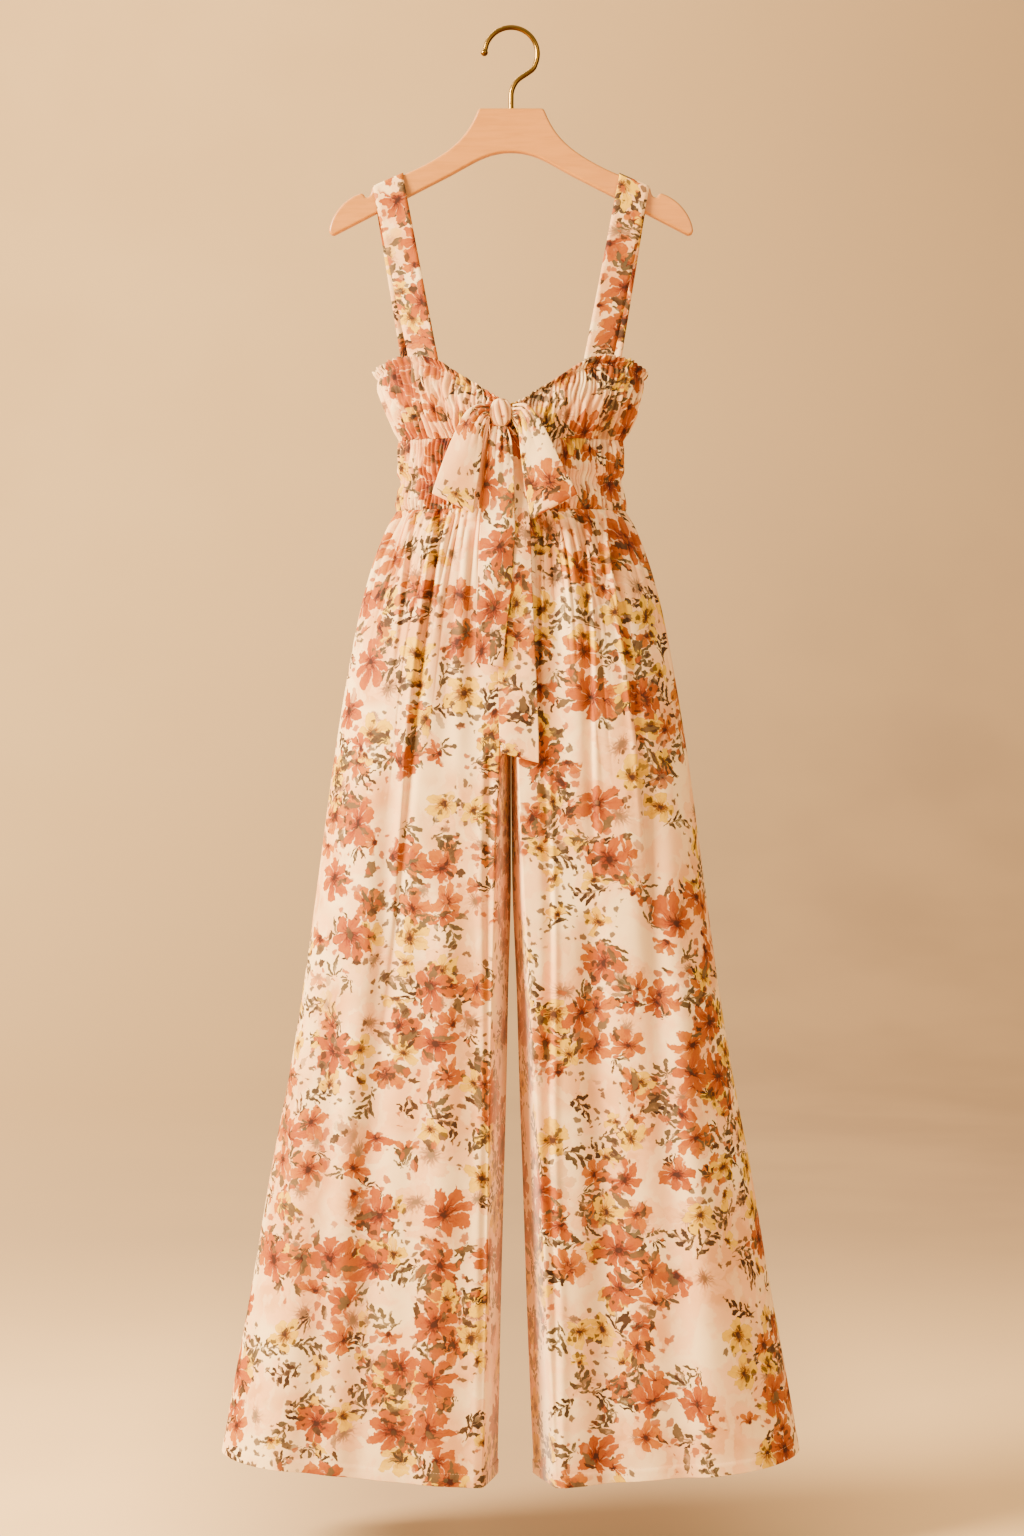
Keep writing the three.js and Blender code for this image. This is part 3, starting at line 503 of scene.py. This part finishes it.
def strap(side, name, print_at):
    rng = np.random.default_rng(11 + side)
    lines = []
    for reach in np.linspace(-1, 1, 9):
        on_bar = STRAP_ON_BAR + reach * STRAP_HALF
        top = bar_top(on_bar)
        line = strap_foot(side, "front", reach)
        clear = STRAP_THICK / 2 + 0.7
        for turn in np.radians((180, 155, 125, 95, 85, 55, 25, 0)):
            y = math.copysign(BAR_THICK / 2 - 2, math.cos(turn)) + (2 + clear) * math.cos(turn)
            line.append((side * on_bar, y, top - 2.2 + (2.2 + clear) * math.sin(turn)))
        line += strap_foot(side, "back", reach)[::-1]
        lines.append(line)
    rough = np.array(lines).transpose(1, 0, 2)
    front = rough[1] + (rough[2] - rough[1]) * np.linspace(0, 1, 12)[1:-1, None, None]
    back = rough[9] + (rough[10] - rough[9]) * np.linspace(0, 1, 12)[1:-1, None, None]
    rough = np.vstack([rough[:2], front, rough[2:10], back, rough[10:]])
    points = smooth_path(rough, 220)
    along = np.cumsum(np.r_[0, np.linalg.norm(np.diff(points[:, 4], axis=0), axis=1)])[:, None]
    across = np.linspace(-1, 1, 9)[None] * STRAP_HALF
    ripple = np.sin(along / 31 + side) * np.sin(along / 17 + across / 14) * rng.uniform(0.5, 0.7)
    hang = np.clip(along / 40, 0, 1) * np.clip((along[-1] - along) / 40, 0, 1) * (points[:, 4, 2] < -200)[:, None]
    points[:, :, 1] += ripple * hang
    flat = np.stack(np.broadcast_arrays(across * side + print_at[0], along + print_at[1]), -1)
    return cloth(name, points, flat, thick=STRAP_THICK)


strap(-1, "strap_left", (660, 300))
strap(1, "strap_right", (4140, 290))


# The bust: two front panels that meet under the bow and one back panel, shirred with elastic thread to two thirds.
# A narrow frill stands above the elastic at the neck; a second elastic lies in the seam under the bust.
UNDERBUST = 453
WAIST = 530
BUST_FORM = {
    # share of the way down, how far the cloth stands out, and how deep its gathers are there
    "share": (0, 0.05, 0.1, 0.16, 0.3, 0.6, 0.85, 0.95, 1),
    "out": (3.0, 1.8, -1.0, 0.6, 2.8, 4.2, 2.8, 0.4, -1.0),
    "deep": (3.8, 3.2, 1.8, 3.4, 5.2, 5.6, 4.6, 2.4, 1.8),
    "elastic": (0.1, 1.0),
    "fine": 0.75,
}
SHIRRED = 1.4
STITCH_PITCH = 3.0
STITCH_LONG = 2.1
THREAD_THICK = 0.28
HIDDEN_ROWS = 8


thread, shader, start = new_material("thread")
place = start.node("ShaderNodeTexCoord", {}, {}, "Object")
twisted = place.node("ShaderNodeTexNoise", {}, {"Vector": place, "Scale": 2200.0, "Detail": 1.0})
feed(twisted.step(0.35, 0.65).blend(colour("#d9964e"), colour("#f2bd7c")), shader, "Base Color")
shader.inputs["Roughness"].default_value = 0.6


def stitches(name, above, line, below, outward):
    """A row of stitches along a line of the cloth, between the lines just above and below it."""
    along = np.r_[0, np.cumsum(np.linalg.norm(np.diff(line, axis=0), axis=1))]
    places = np.arange(STITCH_PITCH / 2, along[-1], STITCH_PITCH)
    middles = np.stack([np.interp(places, along, line[:, k]) for k in range(3)], -1)
    run = np.gradient(middles, axis=0)
    run /= np.linalg.norm(run, axis=1, keepdims=True)
    fall = np.stack([np.interp(places, along, (below - above)[:, k]) for k in range(3)], -1)
    fall /= np.linalg.norm(fall, axis=1, keepdims=True)
    face = np.cross(run, fall)
    face *= np.sign((face * outward).sum(1, keepdims=True)) / np.linalg.norm(face, axis=1, keepdims=True)
    half, thick = STITCH_LONG / 2, THREAD_THICK
    ring = [half * run, thick * fall, thick * face, -half * run, -thick * fall, -0.3 * thick * face]
    corners = (middles + np.array(ring)).transpose(1, 0, 2).reshape(-1, 3)
    sides = np.array([(0, 1, 2), (0, 2, 4), (0, 4, 5), (0, 5, 1), (3, 2, 1), (3, 4, 2), (3, 5, 4), (3, 1, 5)])
    faces = (sides[None] + 6 * np.arange(len(middles))[:, None, None]).reshape(-1, 3)
    mesh = bpy.data.meshes.new(name)
    mesh.from_pydata((corners * MM).tolist(), [], faces.tolist())
    mesh.materials.append(thread)
    made = bpy.data.objects.new(name, mesh)
    bpy.context.collection.objects.link(made)
    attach(made, "root")
    return made


def even_angles(count, low, high):
    """Angles round the body from the left side seam (0) to the right one (pi) that lie evenly along the cloth."""
    angle = np.linspace(0, math.pi, 721)
    steps = np.hypot(125 * np.diff(np.cos(angle)), 46 * np.diff(np.sin(angle)))
    along = np.r_[0, np.cumsum(steps)]
    places = np.linspace(low, high, count) * along[-1]
    return np.interp(places, along, angle), places


def gathers(places, down, pitch, seed):
    """Depth of small uneven folds that run down the cloth: sharp valleys, round ridges, and a slow sideways wander."""
    rng = np.random.default_rng(seed)
    count = int(places.max() / pitch) + 12
    edges = np.cumsum(pitch * rng.uniform(0.55, 1.5, count)) - 4 * pitch
    high = rng.uniform(0.35, 1.2, count + 1)
    wander = 1.4 * np.sin(down / 13 + places / 21 + seed) + 0.9 * np.sin(down / 6 - places / 9)
    phase = np.interp(places + wander, edges, np.arange(count))
    return np.abs(np.sin(np.pi * phase)) * high[phase.astype(int)]


def round_body(angles, down, face, out):
    wide = through(BODY, "down", "half_width", down) + out
    deep = through(BODY, "down", face, down) + out
    sign = -1 if face == "front" else 1
    return np.stack([-wide * np.cos(angles), sign * deep * np.sin(angles), -down], -1)


def shirred(face, low, high, neck, foot, form, rows, columns, seed, print_at, turned=0):
    """A shirred panel from share low to share high of the way across, and from its upper edge down to foot."""
    angles, places = even_angles(columns, low, high)
    share = 1 - np.abs(1 - 2 * angles / math.pi)
    top = through(neck, "share", "down", share) if neck else np.full(columns, float(turned))
    run = np.linspace(0, 1, rows)[:, None]
    down = top + (foot - top) * run
    places = np.broadcast_to(places, down.shape)
    deep = through(form, "share", "deep", run)
    fine, full, near = 0, 0, 0
    for k, line in enumerate(form["elastic"]):
        close = np.exp(-(((run - line) / 0.2) ** 2)) + 1e-6
        fine = fine + close * gathers(places, down, 4.7, seed + 7 * k)
        full = full + close * gathers(places, down, 8.5, seed + 7 * k + 3)
        near = near + close
    tight = np.clip(near, 0, 1) * form["fine"] + 1 - form["fine"]
    height = (fine * tight + full * (1 - tight)) / near + 0.25 * gathers(places, down, 21.0, seed + 2) - 0.1
    seam = np.clip(np.minimum(places - places.min(), places.max() - places) / 4, 0.15, 1)
    out = through(form, "share", "out", run) + deep * (height - 0.55) * seam
    frill = np.exp(-run / 0.05) if neck else 0
    points = round_body(np.broadcast_to(angles, down.shape), down - 2.2 * (height - 0.5) * frill, face, out)
    rows_of_thread = []
    for line in form["elastic"]:
        at = round(line * (rows - 1))
        if 0 < at < rows - 1:
            name = "%s_%d_shirring_%d" % (face, seed, len(rows_of_thread) + 1)
            outward = points[at].mean(0) * (1, 1, 0)
            rows_of_thread.append(stitches(name, points[at - 1], points[at], points[at + 1], outward))
    hidden = points[1 : HIDDEN_ROWS + 1].copy()
    hidden[:, :, :2] *= 0.965
    points = np.vstack([hidden[::-1], points])
    flat = np.stack([places * SHIRRED + 1.3 * height + print_at, down + 0 * places], -1)
    flat = np.vstack([flat[1 : HIDDEN_ROWS + 1][::-1], flat])
    # Painted shade: how far the cloth lies down between gathers, more near the elastic, darkens the print there.
    painted_shading = np.clip(1.22 + 0.2 * np.clip(near, 0, 1) - height * 2.5, 0, 1) * np.clip(deep / 3, 0.7, 1)
    return points, flat, np.vstack([painted_shading[1 : HIDDEN_ROWS + 1][::-1], painted_shading]), rows_of_thread


for name, low, high, seed, print_at in (("bust_front_left", 0, 0.5, 3, 150), ("bust_front_right", 0.5, 1, 5, 300)):
    points, flat, painted_shading, sewn = shirred("front", low, high, FRONT_NECK, UNDERBUST, BUST_FORM, 56, 260, seed, print_at)
    cloth(name, points, flat, painted_shading=painted_shading)
points, flat, painted_shading, sewn = shirred("back", 0, 1, BACK_NECK, UNDERBUST, BUST_FORM, 56, 520, 8, 4020)
cloth("bust_back", points, flat, painted_shading=painted_shading)


# The midriff: a front and a back band shirred the same way, with a third elastic halfway down.
# The bands are sewn to each other at the sides, to the bust above and to the legs at the waist.
MIDRIFF_FORM = {
    "share": (0, 0.1, 0.25, 0.45, 0.56, 0.62, 0.7, 0.85, 0.95, 1),
    "out": (-1.0, 0.8, 2.0, 1.6, -1.0, -1.0, 1.0, 1.8, 0.4, -0.8),
    "deep": (1.8, 3.4, 4.4, 4.2, 2.2, 2.2, 3.8, 4.4, 3.0, 2.2),
    "elastic": (0.0, 0.59, 1.0),
    "fine": 0.4,
}
for name, face, seed, print_at in (("midriff_front", "front", 12, 5445), ("midriff_back", "back", 14, 1350)):
    points, flat, painted_shading, sewn = shirred(face, 0, 1, None, WAIST, MIDRIFF_FORM, 64, 520, seed, print_at, UNDERBUST)
    cloth(name, points, flat, painted_shading=painted_shading)


# The legs: a front and a back panel each, cut wide and flared, and gathered into the waist seam.
# They are sewn together down the side, down the centre as far as the crotch and down the inside leg, and hemmed.
LEG = {
    "drop": (0, 15, 66, 112, 180, 282, 398, 528, 631, 745, 869, 970, 1057),
    "outer": (126, 135, 154, 166, 179, 195, 210, 227, 243, 264, 284, 302, 317),
    "front": (48, 51, 57, 62, 66, 69, 70, 71, 71, 72, 72, 72, 72),
    "back": (46, 48, 53, 57, 61, 64, 66, 67, 67, 68, 68, 68, 68),
    "outer_round": (126, 130, 125, 112, 100, 90, 85, 82, 80, 80, 80, 80, 80),
    "inner_left": (0, 0, 0, 0, 0, 0, 0, 3, 5, 8, 11, 13, 15),
    "inner_right": (0, 0, 0, 0, 0, 0, 1, 6, 9, 13, 17, 21, 25),
    "round_left": (4, 4, 4, 5, 9, 13, 18, 18, 18, 17, 16, 16, 16),
    "round_right": (4, 4, 4, 5, 7, 8, 12, 15, 18, 20, 22, 24, 24),
}
CROTCH = 251
RISE_CURVE_START = 150
HEM_DROP = 1057
HEM_LIFT = 28
CUT_AT_WAIST = 205
FOLDS = [
    # panel, drops where the fold begins and ends, its distance from the centre there, rise, half width, and the side
    # of a pressed edge: 1 away from the centre, -1 towards it, 0 for a soft fold
    ("front_left", 1, 590, 81, 139, -8, 5, 1),
    ("front_left", 8, 190, 104, 128, -5, 4, 1),
    ("front_left", 4, 120, 122, 142, -6, 7, 0),
    ("front_left", 6, 330, 62, 70, -7, 10, 0),
    ("front_left", 12, 300, 42, 44, -6, 9, 0),
    ("front_left", 20, 360, 52, 60, 4, 8, 0),
    ("front_left", 280, 1900, 128, 218, -9, 9, 0),
    ("front_left", 262, 1900, 24, 30, -4, 5, 1),
    ("front_left", 420, 1900, 70, 103, 8, 11, 0),
    ("front_left", 520, 1900, 196, 262, -9, 10, 0),
    ("front_right", 3, 300, 30, 33, -4, 5, 1),
    ("front_right", 4, 420, 77, 94, -6, 5, 1),
    ("front_right", 2, 460, 106, 160, -8, 5, -1),
    ("front_right", 5, 120, 97, 103, -5, 4, 1),
    ("front_right", 8, 200, 44, 48, -6, 8, 0),
    ("front_right", 20, 420, 62, 76, 5, 11, 0),
    ("front_right", 280, 1900, 148, 231, -9, 9, 0),
    ("front_right", 262, 1900, 38, 58, -5, 4, 1),
    ("front_right", 440, 1900, 88, 131, -9, 9, 0),
    ("front_right", 520, 1900, 180, 261, 8, 12, 0),
    ("back_left", 2, 560, 70, 118, -8, 5, 1),
    ("back_left", 6, 280, 104, 140, -6, 5, -1),
    ("back_left", 8, 360, 36, 46, -7, 10, 0),
    ("back_left", 20, 700, 52, 86, 5, 16, 0),
    ("back_left", 480, 1300, 140, 190, -5, 28, 0),
    ("back_right", 3, 520, 64, 104, -7, 5, -1),
    ("back_right", 2, 400, 96, 142, -7, 5, 1),
    ("back_right", 10, 300, 34, 40, -7, 9, 0),
    ("back_right", 20, 780, 48, 80, 6, 17, 0),
    ("back_right", 520, 1300, 136, 180, -5, 30, 0),
]
HEM_TURNED = 14


def fold_across(offset, width, pressed):
    """Height of a fold across it, 1 in its middle. The side of a pressed edge is steep, with a low bank beyond."""
    soft = np.exp(-((offset / width) ** 2))
    if pressed == 0:
        return soft
    away = offset * pressed / width
    steep = np.exp(-((away / 0.4) ** 2))
    bank = np.exp(-(((away - 0.8) / 0.6) ** 2)) - math.exp(-((0.8 / 0.6) ** 2)) * steep
    return np.where(away < 0, soft, steep - 0.4 * bank)


def evenly(line, count):
    """Points evenly spaced along a line in the plane, and the outward direction at each."""
    along = np.r_[0, np.cumsum(np.linalg.norm(np.diff(line, axis=0), axis=1))]
    places = np.linspace(0, along[-1], count)
    points = np.stack([np.interp(places, along, line[:, k]) for k in (0, 1)], -1)
    run = np.gradient(points, axis=0)
    run /= np.maximum(np.linalg.norm(run, axis=1, keepdims=True), 1e-9)
    return points, np.stack([-run[:, 1], run[:, 0]], -1) * -1, places


def dip_of(drop):
    """How far the section at a drop has left the centre seam for the inside leg, from 0 to 1."""
    rise = min(max((drop - RISE_CURVE_START) / (CROTCH - RISE_CURVE_START), 0), 1)
    return 1 - math.sqrt(1 - rise * rise)


def leg_form(face, where, drop, wide, narrow):
    """The plain section of a leg panel at one height: points, outward directions and places along the cloth."""
    dip = dip_of(drop)
    depth = through(LEG, "drop", face, drop)
    outer = through(LEG, "drop", "outer", drop)
    inner = through(LEG, "drop", "inner_" + where, drop) + 0.15
    rounded = through(LEG, "drop", "round_" + where, drop)
    outer_round = min(through(LEG, "drop", "outer_round", drop), outer - inner - rounded)
    turn = np.linspace(0, math.pi / 2, 40)
    side = np.stack([outer - outer_round * (1 - np.cos(turn)), depth * np.sin(turn)], -1)
    side = np.vstack([side, [[inner + rounded, depth]]])
    back = turn[::-1]
    straight = 0.85 * dip
    across = straight * np.sin(back) + (1 - straight) * (1 - np.cos(back)) ** 0.72
    inside = np.stack([inner + rounded * across, depth * (1 - dip * (1 - np.sin(back)))], -1)
    first, first_out, first_along = evenly(side, wide)
    second, second_out, second_along = evenly(inside, narrow)
    points = np.vstack([first, second[1:]])
    return points, np.vstack([first_out, second_out[1:]]), np.r_[first_along - first_along[-1], second_along[1:]]


def leg(face, where, seed, wide=215, narrow=30):
    side = -1 if where == "left" else 1
    sign = -1 if face == "front" else 1
    rng = np.random.default_rng(seed)
    stitched = HEM_DROP - HEM_TURNED
    drops = np.concatenate([np.linspace(0, 140, 66)[:-1], np.linspace(140, stitched - 3, 122)])
    drops = np.concatenate([drops, stitched + np.array((-0.9, 0, 0.9)), HEM_DROP - np.array((9, 5, 1.2, 0.4, 0))])
    count = 17
    edges = np.r_[0, np.cumsum(rng.uniform(0.6, 1.45, count))]
    edges /= edges[-1]
    high = rng.uniform(0.3, 1.3, count)
    reach = rng.uniform(80, 220, count) * rng.choice([1, 1, 1.8], count)
    share = np.linspace(0, 1, wide)
    window = np.clip(np.minimum(share / 0.05, (1 - share) / 0.03), 0, 1)
    rows, flats, shades = [], [], []
    for drop in drops:
        points, outward, along = leg_form(face, where, drop, wide, narrow)
        phase = np.interp(share + 0.006 * np.sin(drop / 37 + share * 9), edges, np.arange(count + 1))
        number = np.minimum(phase.astype(int), count - 1)
        lasting = np.clip(1 - drop / reach[number], 0, 1) ** 1.3
        grow = 2.0 + 5.0 * math.sin(min(drop / 45, 1) * math.pi / 2)
        ridge = np.abs(np.sin(np.pi * phase)) ** 0.8
        out = (ridge - 0.55) * high[number] * grow * lasting
        # Painted shade: the gather valleys near the waist are darkened in the print, fading where the gathers end.
        shade = 0.8 * np.clip(1 - ridge * 1.9, 0, 1) * np.clip(lasting * 1.6, 0, 1)
        for panel, top, bottom, begins, ends, rise, width, pressed in FOLDS:
            run = (drop - top) / (bottom - top)
            if panel != face + "_" + where or not 0 < run < 1:
                continue
            middle = begins + (ends - begins) * run + 2 * math.sin(drop / 70 + rise)
            spread = width * (1 + drop / 700)
            lasts = math.sin(math.pi * run**0.4) ** 0.7
            fold = fold_across(points[:wide, 0] - middle, spread, pressed)
            out += rise * lasts * fold
            # Painted shade along the valleys of the long folds, weaker for pressed folds.
            shade = shade + max(-rise, 0) / (32 if pressed else 16) * lasts * np.clip(fold, 0, 1) ** 2
        out += 2.2 * min(drop / HEM_DROP, 1) ** 2 * np.sin(share * 11 + seed) + (0.5 if drop > stitched else 0)
        moved = points.copy()
        moved[:wide] += outward[:wide] * (out * window)[:, None]
        moved = np.maximum(moved, 0.15)
        lift_share = np.r_[share, np.ones(narrow - 1)]
        lift = HEM_LIFT * drop / HEM_DROP * (1 - lift_share) ** 1.2
        rows.append(np.stack([side * moved[:, 0], sign * moved[:, 1], -WAIST - 0.15 - drop + lift], -1))
        stretch = 1 + max(CUT_AT_WAIST / -along[0] - 1, 0) * max(1 - drop / 260, 0) ** 1.5
        flats.append(np.stack([side * along * stretch + seed * 1730, drop - lift + seed * 610], -1))
        # Painted light: the inside faces of the legs below the crotch get values below 0, which lighten the print
        # there.
        painted_light_inside = -dip_of(drop) * np.clip(np.linspace(0, 3, narrow)[1:], 0, 1)
        shades.append(np.r_[np.clip(shade * window, 0, 1) * 0.75, painted_light_inside])
    points, flats, shades = np.array(rows), np.array(flats), np.array(shades)
    sewn = stitches("hem_%s_%s" % (face, where), points[-8], points[-7], points[-6], np.array((0.2 * side, sign, 0)))
    hem = points[-8:-1][::-1].copy()
    hem[:, :, 0] = side * np.maximum(np.abs(hem[:, :, 0]) - 1.2, 0.15)
    hem[:, :, 1] *= 0.975
    points = np.vstack([points, hem])
    flats = np.vstack([flats, flats[-8:-1][::-1]])
    shades = np.vstack([shades, shades[-8:-1][::-1]])
    return cloth("leg_%s_%s" % (face, where), points, flats, painted_shading=shades)


for seed, (face, where) in enumerate((("front", "left"), ("front", "right"), ("back", "left"), ("back", "right"))):
    leg(face, where, 21 + seed)


# The bow: two ribbons of the same cotton, doubled and pressed, tied at the neck edge where the front panels meet.
# The knot is wound round twice; the two loops and the two tails fall from it over the midriff.
KNOT = {"x": -11, "y": -64.4, "z": -428, "half_width": 12, "half_depth": 8.6, "half_height": 15}
RIBBON_THICK = 1.0
LOOP_LEFT = {
    "x": (-23.2, -32, -40, -46, -53.5, -62, -62.5, -60, -52, -43, -33, -23.8),
    "y": (-68, -72, -74, -75, -75, -73.5, -68.5, -64, -60.5, -60, -62, -64.5),
    "z": (-427, -429, -441, -462, -489, -522, -526, -521, -500, -474, -447, -431),
    "half_width": (7, 10, 14.5, 18.5, 21.5, 24, 24, 24, 23, 19, 12, 6),
    "turn": (-86, -52, -47, -39, -31, -26, -26, -27, -30, -38, -50, -86),
}
LOOP_RIGHT = {
    "x": (1.7, 11.5, 19, 26.5, 35, 45, 46, 44, 36, 27, 15, 1.9),
    "y": (-68, -72, -74, -75, -75.5, -75, -71.5, -68, -66, -65.5, -65, -64.5),
    "z": (-427, -428, -445, -469, -497, -526, -530, -525, -503, -471, -443, -431),
    "half_width": (7, 9.5, 15, 19.5, 23.5, 28, 28, 27, 24, 19, 12, 6),
    "turn": (86, 56, 48, 38, 32, 29, 29, 29, 31, 38, 52, 86),
}
TAIL_SHORT = {
    "x": (-12, -12, -13, -15, -18, -22, -24),
    "y": (-64.9, -68, -67, -69, -74, -78, -79.5),
    "z": (-443.4, -462, -500, -560, -620, -670, -701),
    "half_width": (8, 13, 16, 19, 18, 16, 15),
    "turn": (0, 0, 0, 0, 0, 0, -10),
}
TAIL_LONG = {
    "x": (-9, 2, 4, 3, 4, 6, 8, 9.5),
    "y": (-62.8, -60.5, -59.5, -64, -69, -73.5, -76.5, -78),
    "z": (-443.5, -464, -500, -560, -620, -690, -760, -801),
    "half_width": (7, 12, 14, 18, 19, 20, 21, 21),
    "turn": (0, 0, 0, 0, 0, 0, 0, -15),
}


def ribbon(name, table, crown, cut, shift, print_at, creases):
    """A length of ribbon along the table's places. Creases spread from the knot and fade along it."""
    keys = np.array([table[k] for k in ("x", "y", "z", "half_width", "turn")]).T
    path = smooth_path(keys, 130)
    along = np.r_[0, np.cumsum(np.linalg.norm(np.diff(path[:, :3], axis=0), axis=1))][:, None]
    across = np.linspace(-1, 1, 37)[None]
    half = path[:, 3:4]
    tip = np.radians(path[:, 4:5])
    near = np.exp(-((along / 30) ** 2))
    if creases > 1:
        near = near + np.exp(-(((along[-1] - along) / 30) ** 2))
    crease = np.abs(np.sin(across * 5.4 + 0.6 * across**2 + shift))
    bow = crown * (1 - across**2) * np.minimum(1, half / 16)
    bow = bow + near * 2.8 * (crease - 0.6) * np.minimum(1, half / 11)
    far = (1 - np.minimum(near, 1)) * np.minimum(1, along / 40)
    bow = bow + 0.9 * np.sin(along / 23 + across * 2.6 + shift) * far
    points = np.stack(
        [
            path[:, 0:1] + across * half * np.cos(tip),
            path[:, 1:2] - bow,
            path[:, 2:3] + across * half * np.sin(tip),
        ],
        -1,
    )
    # Painted shade: the ribbon's creases near the knot are darkened in the print.
    painted_shading = np.clip(1.15 - crease * 2.2, 0, 1) * np.clip(near * 1.6, 0, 1)
    flat = np.stack([across * cut[0] * 500 + print_at[0] + 0 * along, along + print_at[1] + 0 * across], -1)
    return cloth(name, points, flat, thick=RIBBON_THICK, painted_shading=painted_shading)


ribbon("bow_tail_long", TAIL_LONG, 1.5, (0.042, 0.37), 1, (3390, 200), 1)
ribbon("bow_loop_right", LOOP_RIGHT, 2, (0.045, 0.25), 3, (5317, 200), 2)
ribbon("bow_loop_left", LOOP_LEFT, 2, (0.045, 0.25), 6, (5257, 200), 2)
ribbon("bow_tail_short", TAIL_SHORT, 2, (0.042, 0.27), 8, (2745, 200), 1)

around = np.linspace(0, 2 * math.pi, 97)[None]
height = np.linspace(math.pi / 2, -math.pi / 2, 49)[:, None]
wrap = np.abs(np.sin(4 * around + 1.1 * height + 0.5 * np.sin(2 * around)))
fold = 1 + 0.42 * (wrap - 0.85) * np.cos(height)
flattened = np.sign(np.cos(height)) * np.abs(np.cos(height)) ** 0.7
points = np.stack(
    [
        KNOT["x"] + KNOT["half_width"] * 0.94 * flattened * np.cos(around) * fold,
        KNOT["y"] + KNOT["half_depth"] * flattened * np.sin(around) * fold,
        KNOT["z"] + KNOT["half_height"] * np.sin(height) + 0 * around,
    ],
    -1,
)
flat = np.stack([around * 9 + 0 * height + 6515, height * 14 + 0 * around + 262], -1)
# Painted shade: the valleys between the knot's wraps are darkened in the print, fading towards its top and bottom.
painted_shading = np.clip(1.1 - wrap * 1.6, 0, 1) * np.clip(np.cos(height) * 1.8, 0, 1)
cloth("bow_knot", points, flat, painted_shading=painted_shading)


# The studio: a paper cove behind and under the garment, lit softly from the left, and the camera level with its middle.
FLOOR = -1.67
WALL = 8
COVE_ROUND = 3.5
PIXEL = 0.0011
DISTANCE = 3.4

paper, shader, start = new_material("paper")
place = start.node("ShaderNodeTexCoord", {}, {}, "Object")
# Painted light and shade on the paper: it is darker to the right and lower down, as if lit from the left.
side = (place.part(0) * 0.17 - place.part(2) * 0.07 + 0.46).step(0.0, 1.0)
mottled = place.node("ShaderNodeTexNoise", {}, {"Vector": place, "Scale": 1.6, "Detail": 3.0})
tone = side.blend(colour("#dfb97c"), colour("#a98860"))
# Painted shade: the lower part of the cove is darker still towards the right.
low = (place.part(2) - FLOOR).step(2.4, 0.0)
tone = (low * side * 0.7).blend(tone, colour("#8f6c44"))
# Painted light: the floor near the front is lighter towards both sides, which leaves a painted shadow under the middle
# of the garment.
near = low * place.part(1).step(2.4, 0.2) * abs(place.part(0) - 0.02).step(0.1, 0.55)
tone = (near * (1.0 - side * 0.2)).blend(tone, colour("#f8ca84"))
feed((mottled.step(0.3, 0.7) * 0.25).blend(tone, colour("#c8a068")), shader, "Base Color")
shader.inputs["Roughness"].default_value = 0.9
turn = np.linspace(0, math.pi / 2, 16)
profile = [(-40, FLOOR)]
profile += [(WALL + COVE_ROUND * (math.sin(t) - 1), FLOOR + COVE_ROUND * (1 - math.cos(t))) for t in turn]
profile += [(WALL, 9)]
mesh = bpy.data.meshes.new("cove")
points = [(x, y, z) for y, z in profile for x in (-40, 40)]
mesh.from_pydata(points, [], [(2 * i, 2 * i + 1, 2 * i + 3, 2 * i + 2) for i in range(len(profile) - 1)])
mesh.shade_smooth()
mesh.materials.append(paper)
cove = bpy.data.objects.new("cove", mesh)
bpy.context.collection.objects.link(cove)


def area_light(name, place, aim, size, power, code):
    light = bpy.data.lights.new(name, "AREA")
    light.shape = "DISK"
    light.size = size
    light.energy = power
    light.color = colour(code)[:3]
    made = bpy.data.objects.new(name, light)
    made.location = place
    away = np.array(place) - np.array(aim)
    flat_away = math.hypot(away[0], away[1])
    made.rotation_euler = (math.atan2(flat_away, away[2]), 0, math.atan2(away[0], -away[1]))
    bpy.context.collection.objects.link(made)


area_light("key", (-2.75, -1.4, 0.65), (0, 0, -0.8), 1.6, 600, "#fff1de")
area_light("fill", (1.7, -3.1, 0.3), (0, 0, -0.5), 2.2, 62, "#ffeeda")
area_light("wall", (-2.5, 3.0, 4.0), (-0.6, 8, -0.6), 3.0, 660, "#fff0dc")

world = bpy.data.worlds.new("studio")
world.use_nodes = True
world.node_tree.nodes["Background"].inputs["Color"].default_value = colour("#fff0df")
world.node_tree.nodes["Background"].inputs["Strength"].default_value = 0.84
bpy.context.scene.world = world

lens = bpy.data.cameras.new("camera")
lens.sensor_width = 36
lens.lens = 36 * DISTANCE / (1536 * PIXEL)
camera = bpy.data.objects.new("camera", lens)
camera.location = (0.001, -DISTANCE, -738 * PIXEL)
camera.rotation_euler = (math.pi / 2, 0, 0)
bpy.context.collection.objects.link(camera)
bpy.context.scene.camera = camera
